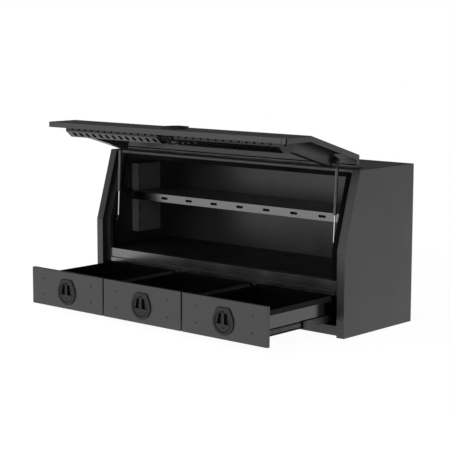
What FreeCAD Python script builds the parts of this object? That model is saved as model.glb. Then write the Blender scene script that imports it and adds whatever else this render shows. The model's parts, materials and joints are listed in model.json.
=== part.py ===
import FreeCAD, Part
import math
import os

# Toolbox for the width of a pick-up tray: a folded aluminium box with a gull-wing
# lid on two gas struts and three drawers below the compartment.
# It is drawn as it stands in use, with the lid up and the drawers out.
# The origin is the middle of the footprint, on the ground. X runs along the box,
# the front faces -Y and Z points up. All sizes are in millimetres.

Vector = FreeCAD.Vector

# Box, measured with the lid and drawers shut
LENGTH = 1800.0
DEPTH = 600.0
HEIGHT = 850.0
KNEE_HEIGHT = 450.0
TOP_SETBACK = 120.0
SHEET = 2.5

# Door frame: a jamb each side with a rebate, and a land that carries the seal
JAMB_WIDTH = 47.0
REBATE_DEPTH = 36.0
LAND_WIDTH = 41.0
SEAL_WIDTH = 15.0
SEAL_GRIP = 9.0
SEAL_WALL = 5.0

# Header under the lid's top flange
ROOF_EDGE_GAP = 5.0
HEADER_DEPTH = 43.0
HEADER_DROP = 21.0
HEADER_HEIGHT = 17.0
HEADER_END_GAP = 13.0
HEADER_LIP = 22.0
HEADER_BEND = 7.0

# Floor of the compartment, sill in front of it and rail below the drawers
FLOOR_RISE = 27.0
SILL_FACE = 53.0
SILL_LEDGE = 8.0
SILL_LOWER_FACE = 24.0
SILL_FLANGE = 34.0
RAIL_HEIGHT = 52.0
RAIL_FLANGE = 32.0

# Lid
LID_GAP = 6.0
LID_RIM = 30.0
LID_TOP_RIM = 20.0
LID_SKIRT = 192.0
LID_OPEN_ANGLE = 90.0
TOUCH_GAP = 0.3
CUT_PAST = 1.0

# Continuous hinge along the roof
HINGE_SETBACK = 188.0
HINGE_RISE = 2.0
HINGE_PIN_RADIUS = 2.0
HINGE_BARREL_RADIUS = 4.0
HINGE_LEAF = 37.0
HINGE_LEAF_SHEET = 1.8
HINGE_KNUCKLES = 14
HINGE_END_GAP = 7.0
PIN_CLEARANCE = 0.05

# Perforated channel inside the free edge of the lid
CHANNEL_SHEET = 2.0
CHANNEL_KNEE_GAP = 35.0
CHANNEL_SHELF = 50.5
CHANNEL_DEPTH = 84.5
CHANNEL_CHAMFER_RISE = 40.0
CHANNEL_HEIGHT = 111.0
CHANNEL_CENTRE_GAP = 63.0
HOLES_PER_CHANNEL = 13
HOLE_START = 33.0
HOLE_END = 52.5
HOLE_RADIUS = 8.5
HOLE_INSET = 14.0
SLOT_LENGTH = 36.0
SLOT_WIDTH = 23.0
STRAP_WIDTH = 32.0

# Stiffener inside each end of the lid
STIFFENER_WIDTH = 50.0
STIFFENER_DEPTH = 90.0
STIFFENER_TOP_GAP = 95.6

# Gas struts
STRUT_INSET = 29.0
STRUT_STANDOFF = 22.0
STRUT_FOOT_DEPTH = 60.0
STRUT_FOOT_RISE = 5.0
STRUT_HEAD_FORWARD = 45.0
STRUT_HEAD_DROP = 105.0
STRUT_TUBE_RADIUS = 9.5
STRUT_ROD_RADIUS = 4.0
STRUT_EYE_RADIUS = 10.0
STRUT_EYE_WIDTH = 14.0
STRUT_SHUT_GAP = 22.0
STRUT_OVERLAP = 60.0
STRUT_NECK = 14.0
STRUT_NECK_RADIUS = 6.0
STRUT_SOCKET_NECK = 34.0
STUD_RADIUS = 4.0
STUD_COLLAR_RADIUS = 6.0
BRACKET_SHEET = 3.0

# Shelf and the box columns that carry it
SHELF_HEIGHT = 597.0
SHELF_SETBACK = 232.0
SHELF_LIP = 45.0
SHELF_LIP_RETURN = 18.0
SHELF_SLOT_END = 80.0
SHELF_SLOT_LENGTH = 50.0
SHELF_SLOT_WIDTH = 14.0
SHELF_LIP_SLOTS = 9
SHELF_TOP_SLOTS = 8
SHELF_TOP_SLOT_SETBACK = 218.0
COLUMN_DEPTH = 49.5
COLUMN_WIDTH = 189.0
COLUMN_SETBACK = 289.0
COLUMN_RISE = 64.0
COLUMN_TOP = 755.0
COLUMN_SLOT_EDGE = 24.0
SLOT_LENGTH_SHARE = 0.19
SLOT_WIDTH_SHARE = 0.29
SLOT_SHARES_BELOW_SHELF = (0.19, 0.69)
SLOT_SHARES_ABOVE_SHELF = (0.2, 0.76)
SHELF_BRACKET_WIDTH = 44.0
SHELF_BRACKET_HEIGHT = 40.0

# Drawers
DRAWERS = 3
DRAWER_BOTTOM = 38.5
DRAWER_LID_GAP = 17.0
DRAWER_SIDE_GAP = 5.0
DRAWER_SEAM = 10.0
PAN_DEPTH = 20.0
TRAY_SHEET = 2.0
TRAY_BOTTOM = 82.0
TRAY_DROP = 36.0
TRAY_HEM_RUN = 12.0
TRAY_HEM_RISE = 22.0
TRAY_REAR_GAP = 35.5
BAY_WALL_SETBACK = 74.0
SCREW_SPREAD = 374.0
SCREW_LOW_EDGE = 15.5
SCREW_HIGH_EDGE = 19.5
SCREW_RADIUS = 2.5
SCREW_HEAD_RADIUS = 5.5
SCREW_HEAD_HEIGHT = 1.4
SCREW_HOLE_GAP = 0.1

# Telescopic runners
RUNNER_MIDDLE = 99.0
RUNNER_HEIGHT = 40.0
RUNNER_THICKNESS = 12.7
RUNNER_SHEET = 1.5
RUNNER_PLAY = 0.5
RUNNER_REAR_GAP = 9.5
RUNNER_NOSE = 30.0
RUNNER_SHORTFALL = 6.0

# Stiles between the drawers
STILE_WIDTH = 20.0
STILE_GAP = 5.0
GUSSET_BASE = 50.0
GUSSET_TIP = 12.0
GUSSET_HEIGHT = 26.0
GUSSET_GAP = 2.0

# Folding-handle locks, one on each drawer and one on the lid
LOCK_PROUD = 8.0
LOCK_RADIUS = 69.0
LOCK_SHOULDER_RADIUS = 24.0
LOCK_SHOULDER_SPREAD = 26.0
LOCK_SHOULDER_RISE = 49.0
LOCK_EDGE_ROUND = 3.0
DISH_RADIUS = 54.0
DISH_DEPTH = 21.0
CUP_WALL = 3.5
CUP_FLOOR = 2.5
LOCK_TURN_GAP = 0.5
LOCK_FLOOR_SHEET = 3.0
CHEEK_SETBACK = 3.0
WELL_BOTTOM = -11.5
WELL_TOP = 42.0
WELL_BOTTOM_HALF = 40.0
WELL_TOP_HALF = 26.0
STEM_HALF = 8.0
STEM_GAP = 0.4
HANDLE_FACE = 1.5
HANDLE_THICKNESS = 11.0
HANDLE_ROUND = 2.5
HANDLE_PIVOT_RISE = 44.0
HANDLE_PIVOT_DEPTH = 7.5
HANDLE_KNUCKLE = 5.5
HANDLE_PIN_RADIUS = 2.5
HANDLE_PIN_HALF = 14.0
FLUKE_GAP = 2.0
KEYHOLE_DROP = 30.0
KEYHOLE_RADIUS = 4.5
KEYHOLE_DEPTH = 3.0
SHAFT_RADIUS = 9.0
CAM_DEPTH = 50.0
CAM_THICKNESS = 4.0
CAM_HALF_WIDTH = 11.0
DRAWER_CAM_OVERLAP = 12.0
DRAWER_LOCK_DROP = 10.75
LID_LOCK_DROP = 78.0
LOCK_HOLE_GAP = 0.5

# Two latch rods that the lid's lock throws sideways behind the lands
CRANK_RADIUS = 30.0
CRANK_START_ANGLE = 45.0
CRANK_PIN_RADIUS = 3.0
YOKE_SHEET = 3.0
YOKE_SLOT_HALF = 4.5
YOKE_EDGE = 4.0
YOKE_PLAY = 1.0
LATCH_ROD_RADIUS = 4.0
LATCH_ROD_OFFSET = 14.0
LATCH_ROD_JOIN = 50.0
LATCH_ROD_TIP = 8.0
LATCH_ROD_GAP = 0.3

# Planes and lines that follow from those sizes
FRONT = -DEPTH / 2
BACK = DEPTH / 2
SIDE = LENGTH / 2
INSIDE = SIDE - SHEET
JAMB_EDGE = SIDE - JAMB_WIDTH
OPENING = JAMB_EDGE - LAND_WIDTH
LEAN = math.atan2(TOP_SETBACK, HEIGHT - KNEE_HEIGHT)
LID_BOTTOM = KNEE_HEIGHT - LID_SKIRT
FLOOR_HEIGHT = LID_BOTTOM + FLOOR_RISE
DRAWER_TOP = LID_BOTTOM - DRAWER_LID_GAP
DRAWER_LOCK_HEIGHT = (DRAWER_BOTTOM + DRAWER_TOP) / 2 - DRAWER_LOCK_DROP
TRAY_TOP = DRAWER_TOP - TRAY_DROP
COLUMN_BOTTOM = FLOOR_HEIGHT + COLUMN_RISE
LAND_BACK = FRONT + REBATE_DEPTH + SHEET
SILL_BOTTOM = FLOOR_HEIGHT - SILL_FACE - SILL_LOWER_FACE
HINGE_Y = FRONT + HINGE_SETBACK
HINGE_Z = HEIGHT + HINGE_RISE
ROOF_FRONT = HINGE_Y + ROOF_EDGE_GAP
HEADER_TOP = HEIGHT - HEADER_DROP + HEADER_HEIGHT
HEADER_BOTTOM = HEIGHT - HEADER_DROP
HEADER_FRONT = ROOF_FRONT - HEADER_DEPTH
LID_HALF = JAMB_EDGE - LID_GAP
STRUT_X = OPENING - STRUT_INSET
LID_FRAME = STRUT_X - STRUT_STANDOFF
LID_LOCK_HEIGHT = KNEE_HEIGHT - LID_LOCK_DROP
BAY_HALF = SIDE - BAY_WALL_SETBACK
DRAWERS_HALF = JAMB_EDGE - DRAWER_SIDE_GAP
DRAWER_PITCH = (2 * DRAWERS_HALF + DRAWER_SEAM) / DRAWERS
RUNNER_STEP = RUNNER_SHEET + RUNNER_PLAY
RUNNER_FRONT = LAND_BACK
RUNNER_REAR = BACK - SHEET - RUNNER_REAR_GAP
TRAVEL = RUNNER_REAR - RUNNER_FRONT - RUNNER_SHORTFALL
DRAWER_FACE = FRONT - TRAVEL


def block(x0, x1, y0, y1, z0, z1):
    """Square block between two corners."""
    return Part.makeBox(x1 - x0, y1 - y0, z1 - z0, Vector(x0, y0, z0))


def along_x(outline, x0, x1):
    """Prism of a (y, z) outline, running from x0 to x1."""
    corners = [Vector(x0, y, z) for y, z in outline]
    face = Part.Face(Part.makePolygon(corners + corners[:1]))
    return face.extrude(Vector(x1 - x0, 0, 0))


def along_y(outline, y0, y1):
    """Prism of an (x, z) outline, running from y0 to y1."""
    corners = [Vector(x, y0, z) for x, z in outline]
    face = Part.Face(Part.makePolygon(corners + corners[:1]))
    return face.extrude(Vector(0, y1 - y0, 0))


def bar(axis, radius, start, end, across, up):
    """Round bar along "x", "y" or "z" from start to end; across and up place its axis."""
    places = {
        "x": (Vector(start, across, up), Vector(1, 0, 0)),
        "y": (Vector(across, start, up), Vector(0, 1, 0)),
        "z": (Vector(across, up, start), Vector(0, 0, 1)),
    }
    foot, direction = places[axis]
    return Part.makeCylinder(radius, end - start, foot, direction)


def fused(*shapes):
    """One solid from shapes that meet or overlap."""
    return shapes[0].fuse(list(shapes[1:])).removeSplitter()


def moved(shape, x=0.0, y=0.0, z=0.0):
    """Copy of a shape, shifted."""
    copy = shape.copy()
    copy.translate(Vector(x, y, z))
    return copy


def mirrored(shape):
    """The same shape at the other end of the box."""
    return shape.mirror(Vector(0, 0, 0), Vector(1, 0, 0))


def slot(normal, length, width, thickness):
    """Cutter with round ends, its length along X, or along Z for one that faces X."""
    straight = (length - width) / 2
    reach = thickness / 2
    if normal == "x":
        body = block(-reach, reach, -width / 2, width / 2, -straight, straight)
        ends = [bar("x", width / 2, -reach, reach, 0, z) for z in (-straight, straight)]
    elif normal == "y":
        body = block(-straight, straight, -reach, reach, -width / 2, width / 2)
        ends = [bar("y", width / 2, -reach, reach, x, 0) for x in (-straight, straight)]
    else:
        body = block(-straight, straight, -width / 2, width / 2, -reach, reach)
        ends = [bar("z", width / 2, -reach, reach, x, 0) for x in (-straight, straight)]
    return fused(body, *ends)


def ribbon(path, thickness):
    """Outline of a folded sheet: a path of (y, z) points and the same path set to its left."""
    normals = []
    for (y0, z0), (y1, z1) in zip(path, path[1:]):
        run = math.hypot(y1 - y0, z1 - z0)
        normals.append(((z0 - z1) / run, (y1 - y0) / run))
    inner = []
    for index, (y, z) in enumerate(path):
        before = normals[max(index - 1, 0)]
        after = normals[min(index, len(normals) - 1)]
        share = thickness / (1 + before[0] * after[0] + before[1] * after[1])
        inner.append((y + share * (before[0] + after[0]), z + share * (before[1] + after[1])))
    return path + inner[::-1]


def front_y(depth, z):
    """Where the plane that lies a depth behind the front skin stands at a height."""
    if z <= KNEE_HEIGHT - depth * math.tan(LEAN / 2):
        return FRONT + depth
    return FRONT + depth / math.cos(LEAN) + (z - KNEE_HEIGHT) * math.tan(LEAN)


def band(near, far, low, high):
    """Outline between two depths behind the front skin, bent at the knee."""
    edges = []
    for depth in (near, far):
        knee = KNEE_HEIGHT - depth * math.tan(LEAN / 2)
        heights = [low, knee, high] if low < knee < high else [low, high]
        edges.append([(front_y(depth, z), z) for z in heights])
    return edges[0] + edges[1][::-1]


def on_slope(distance, depth):
    """Point on the sloped front: a distance up from the knee, a depth behind the skin."""
    y = FRONT + distance * math.sin(LEAN) + depth * math.cos(LEAN)
    z = KNEE_HEIGHT + distance * math.cos(LEAN) - depth * math.sin(LEAN)
    return y, z


def lifted(shape):
    """Lid piece drawn shut, turned up about the hinge."""
    copy = shape.copy()
    copy.rotate(Vector(0, HINGE_Y, HINGE_Z), Vector(1, 0, 0), -LID_OPEN_ANGLE)
    return copy


def save(node, *solids):
    """Write one node: a single solid, or a group of equal ones."""
    shape = solids[0] if len(solids) == 1 else Part.makeCompound(list(solids))
    shape.exportStep("parts/%s.step" % node)


# Box: side panels, roof and back, base


def side_panel():
    """Right-hand side: outer plate, jamb, return of the rebate, land and roof corner."""
    top_front = front_y(0, HEIGHT)
    profile = [(BACK, 0), (BACK, HEIGHT), (top_front, HEIGHT), (FRONT, KNEE_HEIGHT), (FRONT, 0)]
    rebate_back = REBATE_DEPTH + SHEET
    plate = along_x(profile, INSIDE, SIDE)
    jamb = along_x(band(0, SHEET, 0, HEIGHT), JAMB_EDGE, SIDE)
    wall = along_x(band(0, rebate_back, 0, HEIGHT), JAMB_EDGE, JAMB_EDGE + SHEET)
    land_outline = band(REBATE_DEPTH, rebate_back, SILL_BOTTOM, HEADER_BOTTOM)
    land = along_x(land_outline, OPENING, JAMB_EDGE + SHEET)
    corner = block(JAMB_EDGE, SIDE, top_front, ROOF_FRONT, HEIGHT - SHEET, HEIGHT)
    return fused(plate, jamb, wall, land, corner)


def roof_and_back():
    """Roof with its down-turned front lip, folded into the back."""
    roof = block(-INSIDE, INSIDE, ROOF_FRONT, BACK, HEIGHT - SHEET, HEIGHT)
    back = block(-INSIDE, INSIDE, BACK - SHEET, BACK, 0, HEIGHT)
    header_end = JAMB_EDGE - HEADER_END_GAP
    lip = block(-header_end, header_end, ROOF_FRONT, ROOF_FRONT + SHEET, HEADER_BOTTOM, HEIGHT)
    return fused(roof, back, lip)


def header_rail():
    """Rounded channel in front of the roof lip, with a lip below it for the seal."""
    end = JAMB_EDGE - HEADER_END_GAP
    outer = block(-end, end, HEADER_FRONT, ROOF_FRONT, HEADER_BOTTOM, HEADER_TOP)
    front_edges = []
    for edge in outer.Edges:
        centre = edge.CenterOfMass
        if abs(centre.x) < TOUCH_GAP and abs(centre.y - HEADER_FRONT) < TOUCH_GAP:
            front_edges.append(edge)
    outer = outer.makeFillet(HEADER_BEND, front_edges)
    hollow = block(
        -end, end, HEADER_FRONT + SHEET, ROOF_FRONT, HEADER_BOTTOM + SHEET, HEADER_TOP - SHEET
    )
    hollow_edges = []
    for edge in hollow.Edges:
        centre = edge.CenterOfMass
        if abs(centre.x) < TOUCH_GAP and abs(centre.y - HEADER_FRONT - SHEET) < TOUCH_GAP:
            hollow_edges.append(edge)
    hollow = hollow.makeFillet(HEADER_BEND - SHEET, hollow_edges)
    lip_end = OPENING - SEAL_WIDTH
    lip_front = HEADER_FRONT + HEADER_BEND
    lip_low = HEADER_BOTTOM - HEADER_LIP
    lip = block(-lip_end, lip_end, lip_front, lip_front + SHEET, lip_low, HEADER_BOTTOM + SHEET)
    return fused(outer.cut(hollow), lip)


def opening_seal():
    """Rubber seal on both lands and on the header's lip, in one piece."""
    near = REBATE_DEPTH - SEAL_WALL
    far = REBATE_DEPTH + SHEET + SEAL_WALL
    outer_edge = OPENING + SEAL_GRIP
    top_low = HEADER_BOTTOM - HEADER_LIP
    top_high = HEADER_BOTTOM - TOUCH_GAP
    run = along_x(band(near, far, FLOOR_HEIGHT, top_high), OPENING - SEAL_WIDTH, outer_edge)
    land = along_x(band(REBATE_DEPTH, REBATE_DEPTH + SHEET, 0, HEIGHT), OPENING, outer_edge)
    run = run.cut(land)
    top_front = front_y(near, top_high)
    top_back = HEADER_FRONT + HEADER_BEND
    top = block(-OPENING, OPENING, top_front, top_back, top_low, top_high)
    return fused(run, mirrored(run), top)


def base_panel():
    return block(-INSIDE, INSIDE, LAND_BACK, BACK - SHEET, 0, SHEET)


def bottom_rail():
    """Channel across the front under the drawers."""
    rear = LAND_BACK + RAIL_FLANGE - SHEET
    face = LAND_BACK - SHEET
    path = [(rear, RAIL_HEIGHT), (face, RAIL_HEIGHT), (face, SHEET), (rear, SHEET)]
    return along_x(ribbon(path, SHEET), -JAMB_EDGE, JAMB_EDGE)


def sill_rail():
    """Folded rail under the lid's free edge, stepped forward above the drawers."""
    face = LAND_BACK - SHEET
    ledge = FLOOR_HEIGHT - SILL_FACE
    path = [
        (face + SILL_FLANGE, FLOOR_HEIGHT),
        (face, FLOOR_HEIGHT),
        (face, ledge),
        (face - SILL_LEDGE, ledge),
        (face - SILL_LEDGE, SILL_BOTTOM),
    ]
    return along_x(ribbon(path, SHEET), -OPENING, OPENING)


def compartment_floor():
    """Floor behind the sill, with a tongue beside each end of it."""
    low = FLOOR_HEIGHT - SHEET
    sill_rear = LAND_BACK - SHEET + SILL_FLANGE
    sheet = block(-INSIDE, INSIDE, sill_rear, BACK - SHEET, low, FLOOR_HEIGHT)
    tongue = block(OPENING, INSIDE, LAND_BACK, sill_rear, low, FLOOR_HEIGHT)
    return fused(sheet, tongue, mirrored(tongue))


def wall_outline(nose):
    """Outline of an upright wall below the floor, notched over the bottom rail."""
    rail_rear = LAND_BACK + RAIL_FLANGE - SHEET
    rear = BACK - SHEET
    top = FLOOR_HEIGHT - SHEET
    outline = [(nose, RAIL_HEIGHT), (rail_rear, RAIL_HEIGHT), (rail_rear, SHEET), (rear, SHEET)]
    outline += [(rear, top), (LAND_BACK, top)]
    if nose < LAND_BACK:
        outline += [(LAND_BACK, SILL_BOTTOM), (nose, SILL_BOTTOM)]
    return outline


def bay_wall():
    """Wall between the right-hand drawer and the side panel."""
    return along_x(wall_outline(LAND_BACK), BAY_HALF, BAY_HALF + SHEET)


def drawer_divider(x):
    """Wall between two drawers, with a stile and a gusset that holds it to the sill."""
    stile_back = LAND_BACK - SHEET - SILL_LEDGE
    nose = stile_back - SHEET
    plate = along_x(wall_outline(nose), x - SHEET / 2, x + SHEET / 2)
    gusset_low = TRAY_TOP + GUSSET_GAP
    gusset_high = gusset_low + GUSSET_HEIGHT
    stile_low = RUNNER_MIDDLE + RUNNER_HEIGHT / 2 + STILE_GAP
    stile = block(x - STILE_WIDTH / 2, x + STILE_WIDTH / 2, nose, stile_back, stile_low, gusset_low)
    gusset_outline = [
        (x - GUSSET_BASE / 2, gusset_low),
        (x + GUSSET_BASE / 2, gusset_low),
        (x + GUSSET_TIP / 2, gusset_high),
        (x - GUSSET_TIP / 2, gusset_high),
    ]
    gusset = along_y(gusset_outline, nose, stile_back)
    return fused(plate, stile, gusset)


# Shelf and its columns


def shelf_column():
    """Right-hand slotted column: a folded sheet box, open at its back on the side panel."""
    face = INSIDE - COLUMN_DEPTH
    low_y = FRONT + COLUMN_SETBACK
    high_y = low_y + COLUMN_WIDTH
    outer = block(face, INSIDE, low_y, high_y, COLUMN_BOTTOM, COLUMN_TOP)
    inner = block(
        face + SHEET, INSIDE, low_y + SHEET, high_y - SHEET, COLUMN_BOTTOM + SHEET, COLUMN_TOP - SHEET
    )
    below = SHELF_HEIGHT - SHELF_LIP - COLUMN_BOTTOM
    above = COLUMN_TOP - SHELF_HEIGHT
    stretches = [
        (COLUMN_BOTTOM, below, SLOT_SHARES_BELOW_SHELF),
        (SHELF_HEIGHT, above, SLOT_SHARES_ABOVE_SHELF),
    ]
    cutters = []
    for low_z, height, shares in stretches:
        length = SLOT_LENGTH_SHARE * height
        cutter = slot("x", length, SLOT_WIDTH_SHARE * length, 3 * SHEET)
        for y in (low_y + COLUMN_SLOT_EDGE, high_y - COLUMN_SLOT_EDGE):
            for share in shares:
                cutters.append(moved(cutter, face, y, low_z + share * height))
    return outer.cut(inner).cut(cutters)


def shelf():
    """Shelf with a slotted front lip and slots along its top."""
    front = FRONT + SHELF_SETBACK
    half = INSIDE - COLUMN_DEPTH
    path = [
        (BACK - SHEET, SHELF_HEIGHT),
        (front, SHELF_HEIGHT),
        (front, SHELF_HEIGHT - SHELF_LIP),
        (front + SHELF_LIP_RETURN, SHELF_HEIGHT - SHELF_LIP),
    ]
    tray = along_x(ribbon(path, SHEET), -half, half)
    lip_cutter = slot("y", SHELF_SLOT_LENGTH, SHELF_SLOT_WIDTH, 3 * SHEET)
    top_cutter = slot("z", SHELF_SLOT_LENGTH, SHELF_SLOT_WIDTH, 3 * SHEET)
    pitch = 2 * (half - SHELF_SLOT_END) / (SHELF_LIP_SLOTS - 1)
    cutters = []
    for index in range(SHELF_LIP_SLOTS):
        x = (index - (SHELF_LIP_SLOTS - 1) / 2) * pitch
        cutters.append(moved(lip_cutter, x, front, SHELF_HEIGHT - SHELF_LIP / 2))
    for index in range(SHELF_TOP_SLOTS):
        x = (index - (SHELF_TOP_SLOTS - 1) / 2) * pitch
        cutters.append(moved(top_cutter, x, front + SHELF_TOP_SLOT_SETBACK, SHELF_HEIGHT))
    return tray.cut(cutters)


def shelf_bracket():
    """Block that ties the shelf's front corner to the right-hand side panel."""
    rear = FRONT + COLUMN_SETBACK
    return block(
        INSIDE - COLUMN_DEPTH, INSIDE, rear - SHELF_BRACKET_WIDTH, rear,
        SHELF_HEIGHT - SHELF_BRACKET_HEIGHT, SHELF_HEIGHT
    )


# Continuous hinge, drawn shut


def hinge_stretches():
    """Start and end along X of each knuckle."""
    half = LID_HALF - HINGE_END_GAP
    pitch = 2 * half / HINGE_KNUCKLES
    gap = TOUCH_GAP / 2
    return [(-half + i * pitch + gap, -half + (i + 1) * pitch - gap) for i in range(HINGE_KNUCKLES)]


def hinge_leaf(direction, first):
    """Leaf on the roof or the lid, with every second knuckle starting at the first."""
    half = LID_HALF - HINGE_END_GAP
    root = HINGE_Y + direction * ROOF_EDGE_GAP
    tip = root + direction * HINGE_LEAF
    top = HEIGHT + HINGE_LEAF_SHEET
    pieces = [block(-half, half, min(root, tip), max(root, tip), HEIGHT, top)]
    wall_middle = (HINGE_PIN_RADIUS + HINGE_BARREL_RADIUS) / 2
    tongue_root = HINGE_Y + direction * wall_middle
    bore_radius = HINGE_PIN_RADIUS + PIN_CLEARANCE
    bores = []
    for start, end in hinge_stretches()[first::2]:
        pieces.append(bar("x", HINGE_BARREL_RADIUS, start, end, HINGE_Y, HINGE_Z))
        low_y = min(tongue_root, tip)
        high_y = max(tongue_root, tip)
        pieces.append(block(start, end, low_y, high_y, HEIGHT, top))
        bores.append(bar("x", bore_radius, start - CUT_PAST, end + CUT_PAST, HINGE_Y, HINGE_Z))
    return fused(*pieces).cut(bores)


def hinge_pin():
    half = LID_HALF - HINGE_END_GAP
    return bar("x", HINGE_PIN_RADIUS, -half, half, HINGE_Y, HINGE_Z)


# Lid, drawn shut


def lid_skin():
    """Outer sheet in three planes, with a rim round its ends and free edge."""
    top_front = front_y(0, HEIGHT)
    flange_back = HINGE_Y - ROOF_EDGE_GAP
    face = along_x(band(0, SHEET, LID_BOTTOM, HEIGHT), -LID_HALF, LID_HALF)
    flange = block(-LID_HALF, LID_HALF, top_front, flange_back, HEIGHT - SHEET, HEIGHT)
    end_face = along_x(band(0, LID_RIM, LID_BOTTOM, HEIGHT), LID_HALF - SHEET, LID_HALF)
    rim_low = HEIGHT - LID_TOP_RIM
    end_top = block(LID_HALF - SHEET, LID_HALF, top_front, flange_back, rim_low, HEIGHT)
    free_rim = block(-LID_HALF, LID_HALF, FRONT, FRONT + LID_RIM, LID_BOTTOM, LID_BOTTOM + SHEET)
    skin = fused(face, flange, end_face, mirrored(end_face), end_top, mirrored(end_top), free_rim)
    hole = bar("y", lock_hole_radius(), FRONT - SHEET, FRONT + LID_RIM, 0, LID_LOCK_HEIGHT)
    return skin.cut(hole)


def channel_path(foot):
    """Fold line of the perforated channel, which stands on a plane at y = foot."""
    high = KNEE_HEIGHT - CHANNEL_KNEE_GAP
    low = high - CHANNEL_HEIGHT
    bend = low + CHANNEL_CHAMFER_RISE
    deep = FRONT + CHANNEL_DEPTH
    return [(foot, low), (FRONT + CHANNEL_SHELF, low), (deep, bend), (deep, high), (foot, high)]


def lid_channel():
    """Right-hand half of the perforated channel, capped at its outer end."""
    path = channel_path(FRONT + SHEET)
    sheet = along_x(ribbon(path, CHANNEL_SHEET), CHANNEL_CENTRE_GAP, LID_FRAME)
    cap = along_x(path, LID_FRAME - CHANNEL_SHEET, LID_FRAME)
    (shelf_y, low), (deep, bend) = path[1], path[2]
    slope = math.degrees(math.atan2(bend - low, deep - shelf_y))
    hole = bar("z", HOLE_RADIUS, -2 * CHANNEL_SHEET, 2 * CHANNEL_SHEET, 0, 0)
    chamfer_slot = slot("z", SLOT_LENGTH, SLOT_WIDTH, 4 * CHANNEL_SHEET)
    chamfer_slot.rotate(Vector(0, 0, 0), Vector(0, 0, 1), 90)
    chamfer_slot.rotate(Vector(0, 0, 0), Vector(1, 0, 0), slope)
    first = CHANNEL_CENTRE_GAP + HOLE_START
    pitch = (LID_FRAME - HOLE_END - first) / (HOLES_PER_CHANNEL - 1)
    cutters = []
    for index in range(HOLES_PER_CHANNEL):
        x = first + index * pitch
        cutters.append(moved(hole, x, shelf_y - HOLE_INSET, low))
        cutters.append(moved(chamfer_slot, x, (shelf_y + deep) / 2, (low + bend) / 2))
    return fused(sheet, cap).cut(cutters)


def latch_rod_place(side):
    """Place of a latch rod's axis: its y and z, with the lid shut."""
    y = FRONT - LOCK_PROUD + CAM_DEPTH + CAM_THICKNESS + TOUCH_GAP + YOKE_SHEET / 2
    return y, LID_LOCK_HEIGHT - side * LATCH_ROD_OFFSET


def guided(channel, side):
    """Channel half with the hole that guides its latch rod."""
    y, z = latch_rod_place(side)
    radius = LATCH_ROD_RADIUS + LATCH_ROD_GAP
    ends = sorted((side * (LID_FRAME - 2 * CHANNEL_SHEET), side * (LID_FRAME + CHANNEL_SHEET)))
    return channel.cut(bar("x", radius, ends[0], ends[1], y, z))


def latch_strap():
    """Strap between the two channel halves, which stands on the back of the lock's cup."""
    path = channel_path(FRONT - LOCK_PROUD + DISH_DEPTH + CUP_FLOOR)
    return along_x(ribbon(path, CHANNEL_SHEET), -STRAP_WIDTH / 2, STRAP_WIDTH / 2)


def lid_stiffener():
    """Right-hand stiffener along the sloped part: two walls and a face, open to the skin.

    The outer wall reaches down past the knee and stands on the end of the channel.
    """
    low = SHEET
    high = math.hypot(TOP_SETBACK, HEIGHT - KNEE_HEIGHT) - STIFFENER_TOP_GAP
    corners = [(low, SHEET), (low, STIFFENER_DEPTH), (high, STIFFENER_DEPTH), (high, SHEET)]
    side_outline = [on_slope(distance, depth) for distance, depth in corners]
    face_depth = STIFFENER_DEPTH - CHANNEL_SHEET
    face_corners = corners[1:3] + [(high, face_depth), (low, face_depth)]
    face_outline = [on_slope(distance, depth) for distance, depth in face_corners]
    inner = LID_FRAME - STIFFENER_WIDTH
    foot = (STIFFENER_DEPTH * math.sin(LEAN) - CHANNEL_KNEE_GAP) / math.cos(LEAN)
    outer_corners = [(foot, STIFFENER_DEPTH)] + corners[2:] + [(SHEET * math.tan(LEAN / 2), SHEET)]
    outer_outline = [on_slope(distance, depth) for distance, depth in outer_corners]
    outer_outline.append((FRONT + SHEET, KNEE_HEIGHT - CHANNEL_KNEE_GAP))
    outer_wall = along_x(outer_outline, LID_FRAME - CHANNEL_SHEET, LID_FRAME)
    inner_wall = along_x(side_outline, inner, inner + CHANNEL_SHEET)
    face = along_x(face_outline, inner, LID_FRAME)
    return fused(outer_wall, inner_wall, face)


# Gas struts


def strut_foot():
    """Lower pivot of a strut, as (y, z)."""
    return FRONT + STRUT_FOOT_DEPTH, KNEE_HEIGHT + STRUT_FOOT_RISE


def strut_head(angle):
    """Upper pivot of a strut, as (y, z), with the lid open by an angle in degrees."""
    turn = math.radians(angle)
    forward = STRUT_HEAD_FORWARD * math.cos(turn) + STRUT_HEAD_DROP * math.sin(turn)
    drop = STRUT_HEAD_DROP * math.cos(turn) - STRUT_HEAD_FORWARD * math.sin(turn)
    return HINGE_Y - forward, HINGE_Z - drop


def strut_length(angle):
    """Distance between the two pivots with the lid open by an angle."""
    foot = strut_foot()
    head = strut_head(angle)
    return math.hypot(head[0] - foot[0], head[1] - foot[1])


def in_strut_line(shape):
    """Strut piece drawn upright from its lower pivot, set in place on the right."""
    foot = strut_foot()
    head = strut_head(LID_OPEN_ANGLE)
    tilt = math.degrees(math.atan2(head[0] - foot[0], head[1] - foot[1]))
    copy = shape.copy()
    copy.rotate(Vector(0, 0, 0), Vector(1, 0, 0), -tilt)
    copy.translate(Vector(STRUT_X, foot[0], foot[1]))
    return copy


def strut_tube_length():
    return strut_length(0) - STRUT_SHUT_GAP


def strut_rod():
    """Bright rod with an eye on the lower stud."""
    half = STRUT_EYE_WIDTH / 2
    length = strut_length(LID_OPEN_ANGLE) - strut_tube_length() + STRUT_OVERLAP
    eye = bar("x", STRUT_EYE_RADIUS, -half, half, 0, 0)
    neck = bar("z", STRUT_NECK_RADIUS, 0, STRUT_EYE_RADIUS + STRUT_NECK / 2, 0, 0)
    shaft = bar("z", STRUT_ROD_RADIUS, 0, length, 0, 0)
    bore = bar("x", STUD_RADIUS + PIN_CLEARANCE, -2 * half, 2 * half, 0, 0)
    return in_strut_line(fused(eye, neck, shaft).cut(bore))


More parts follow.
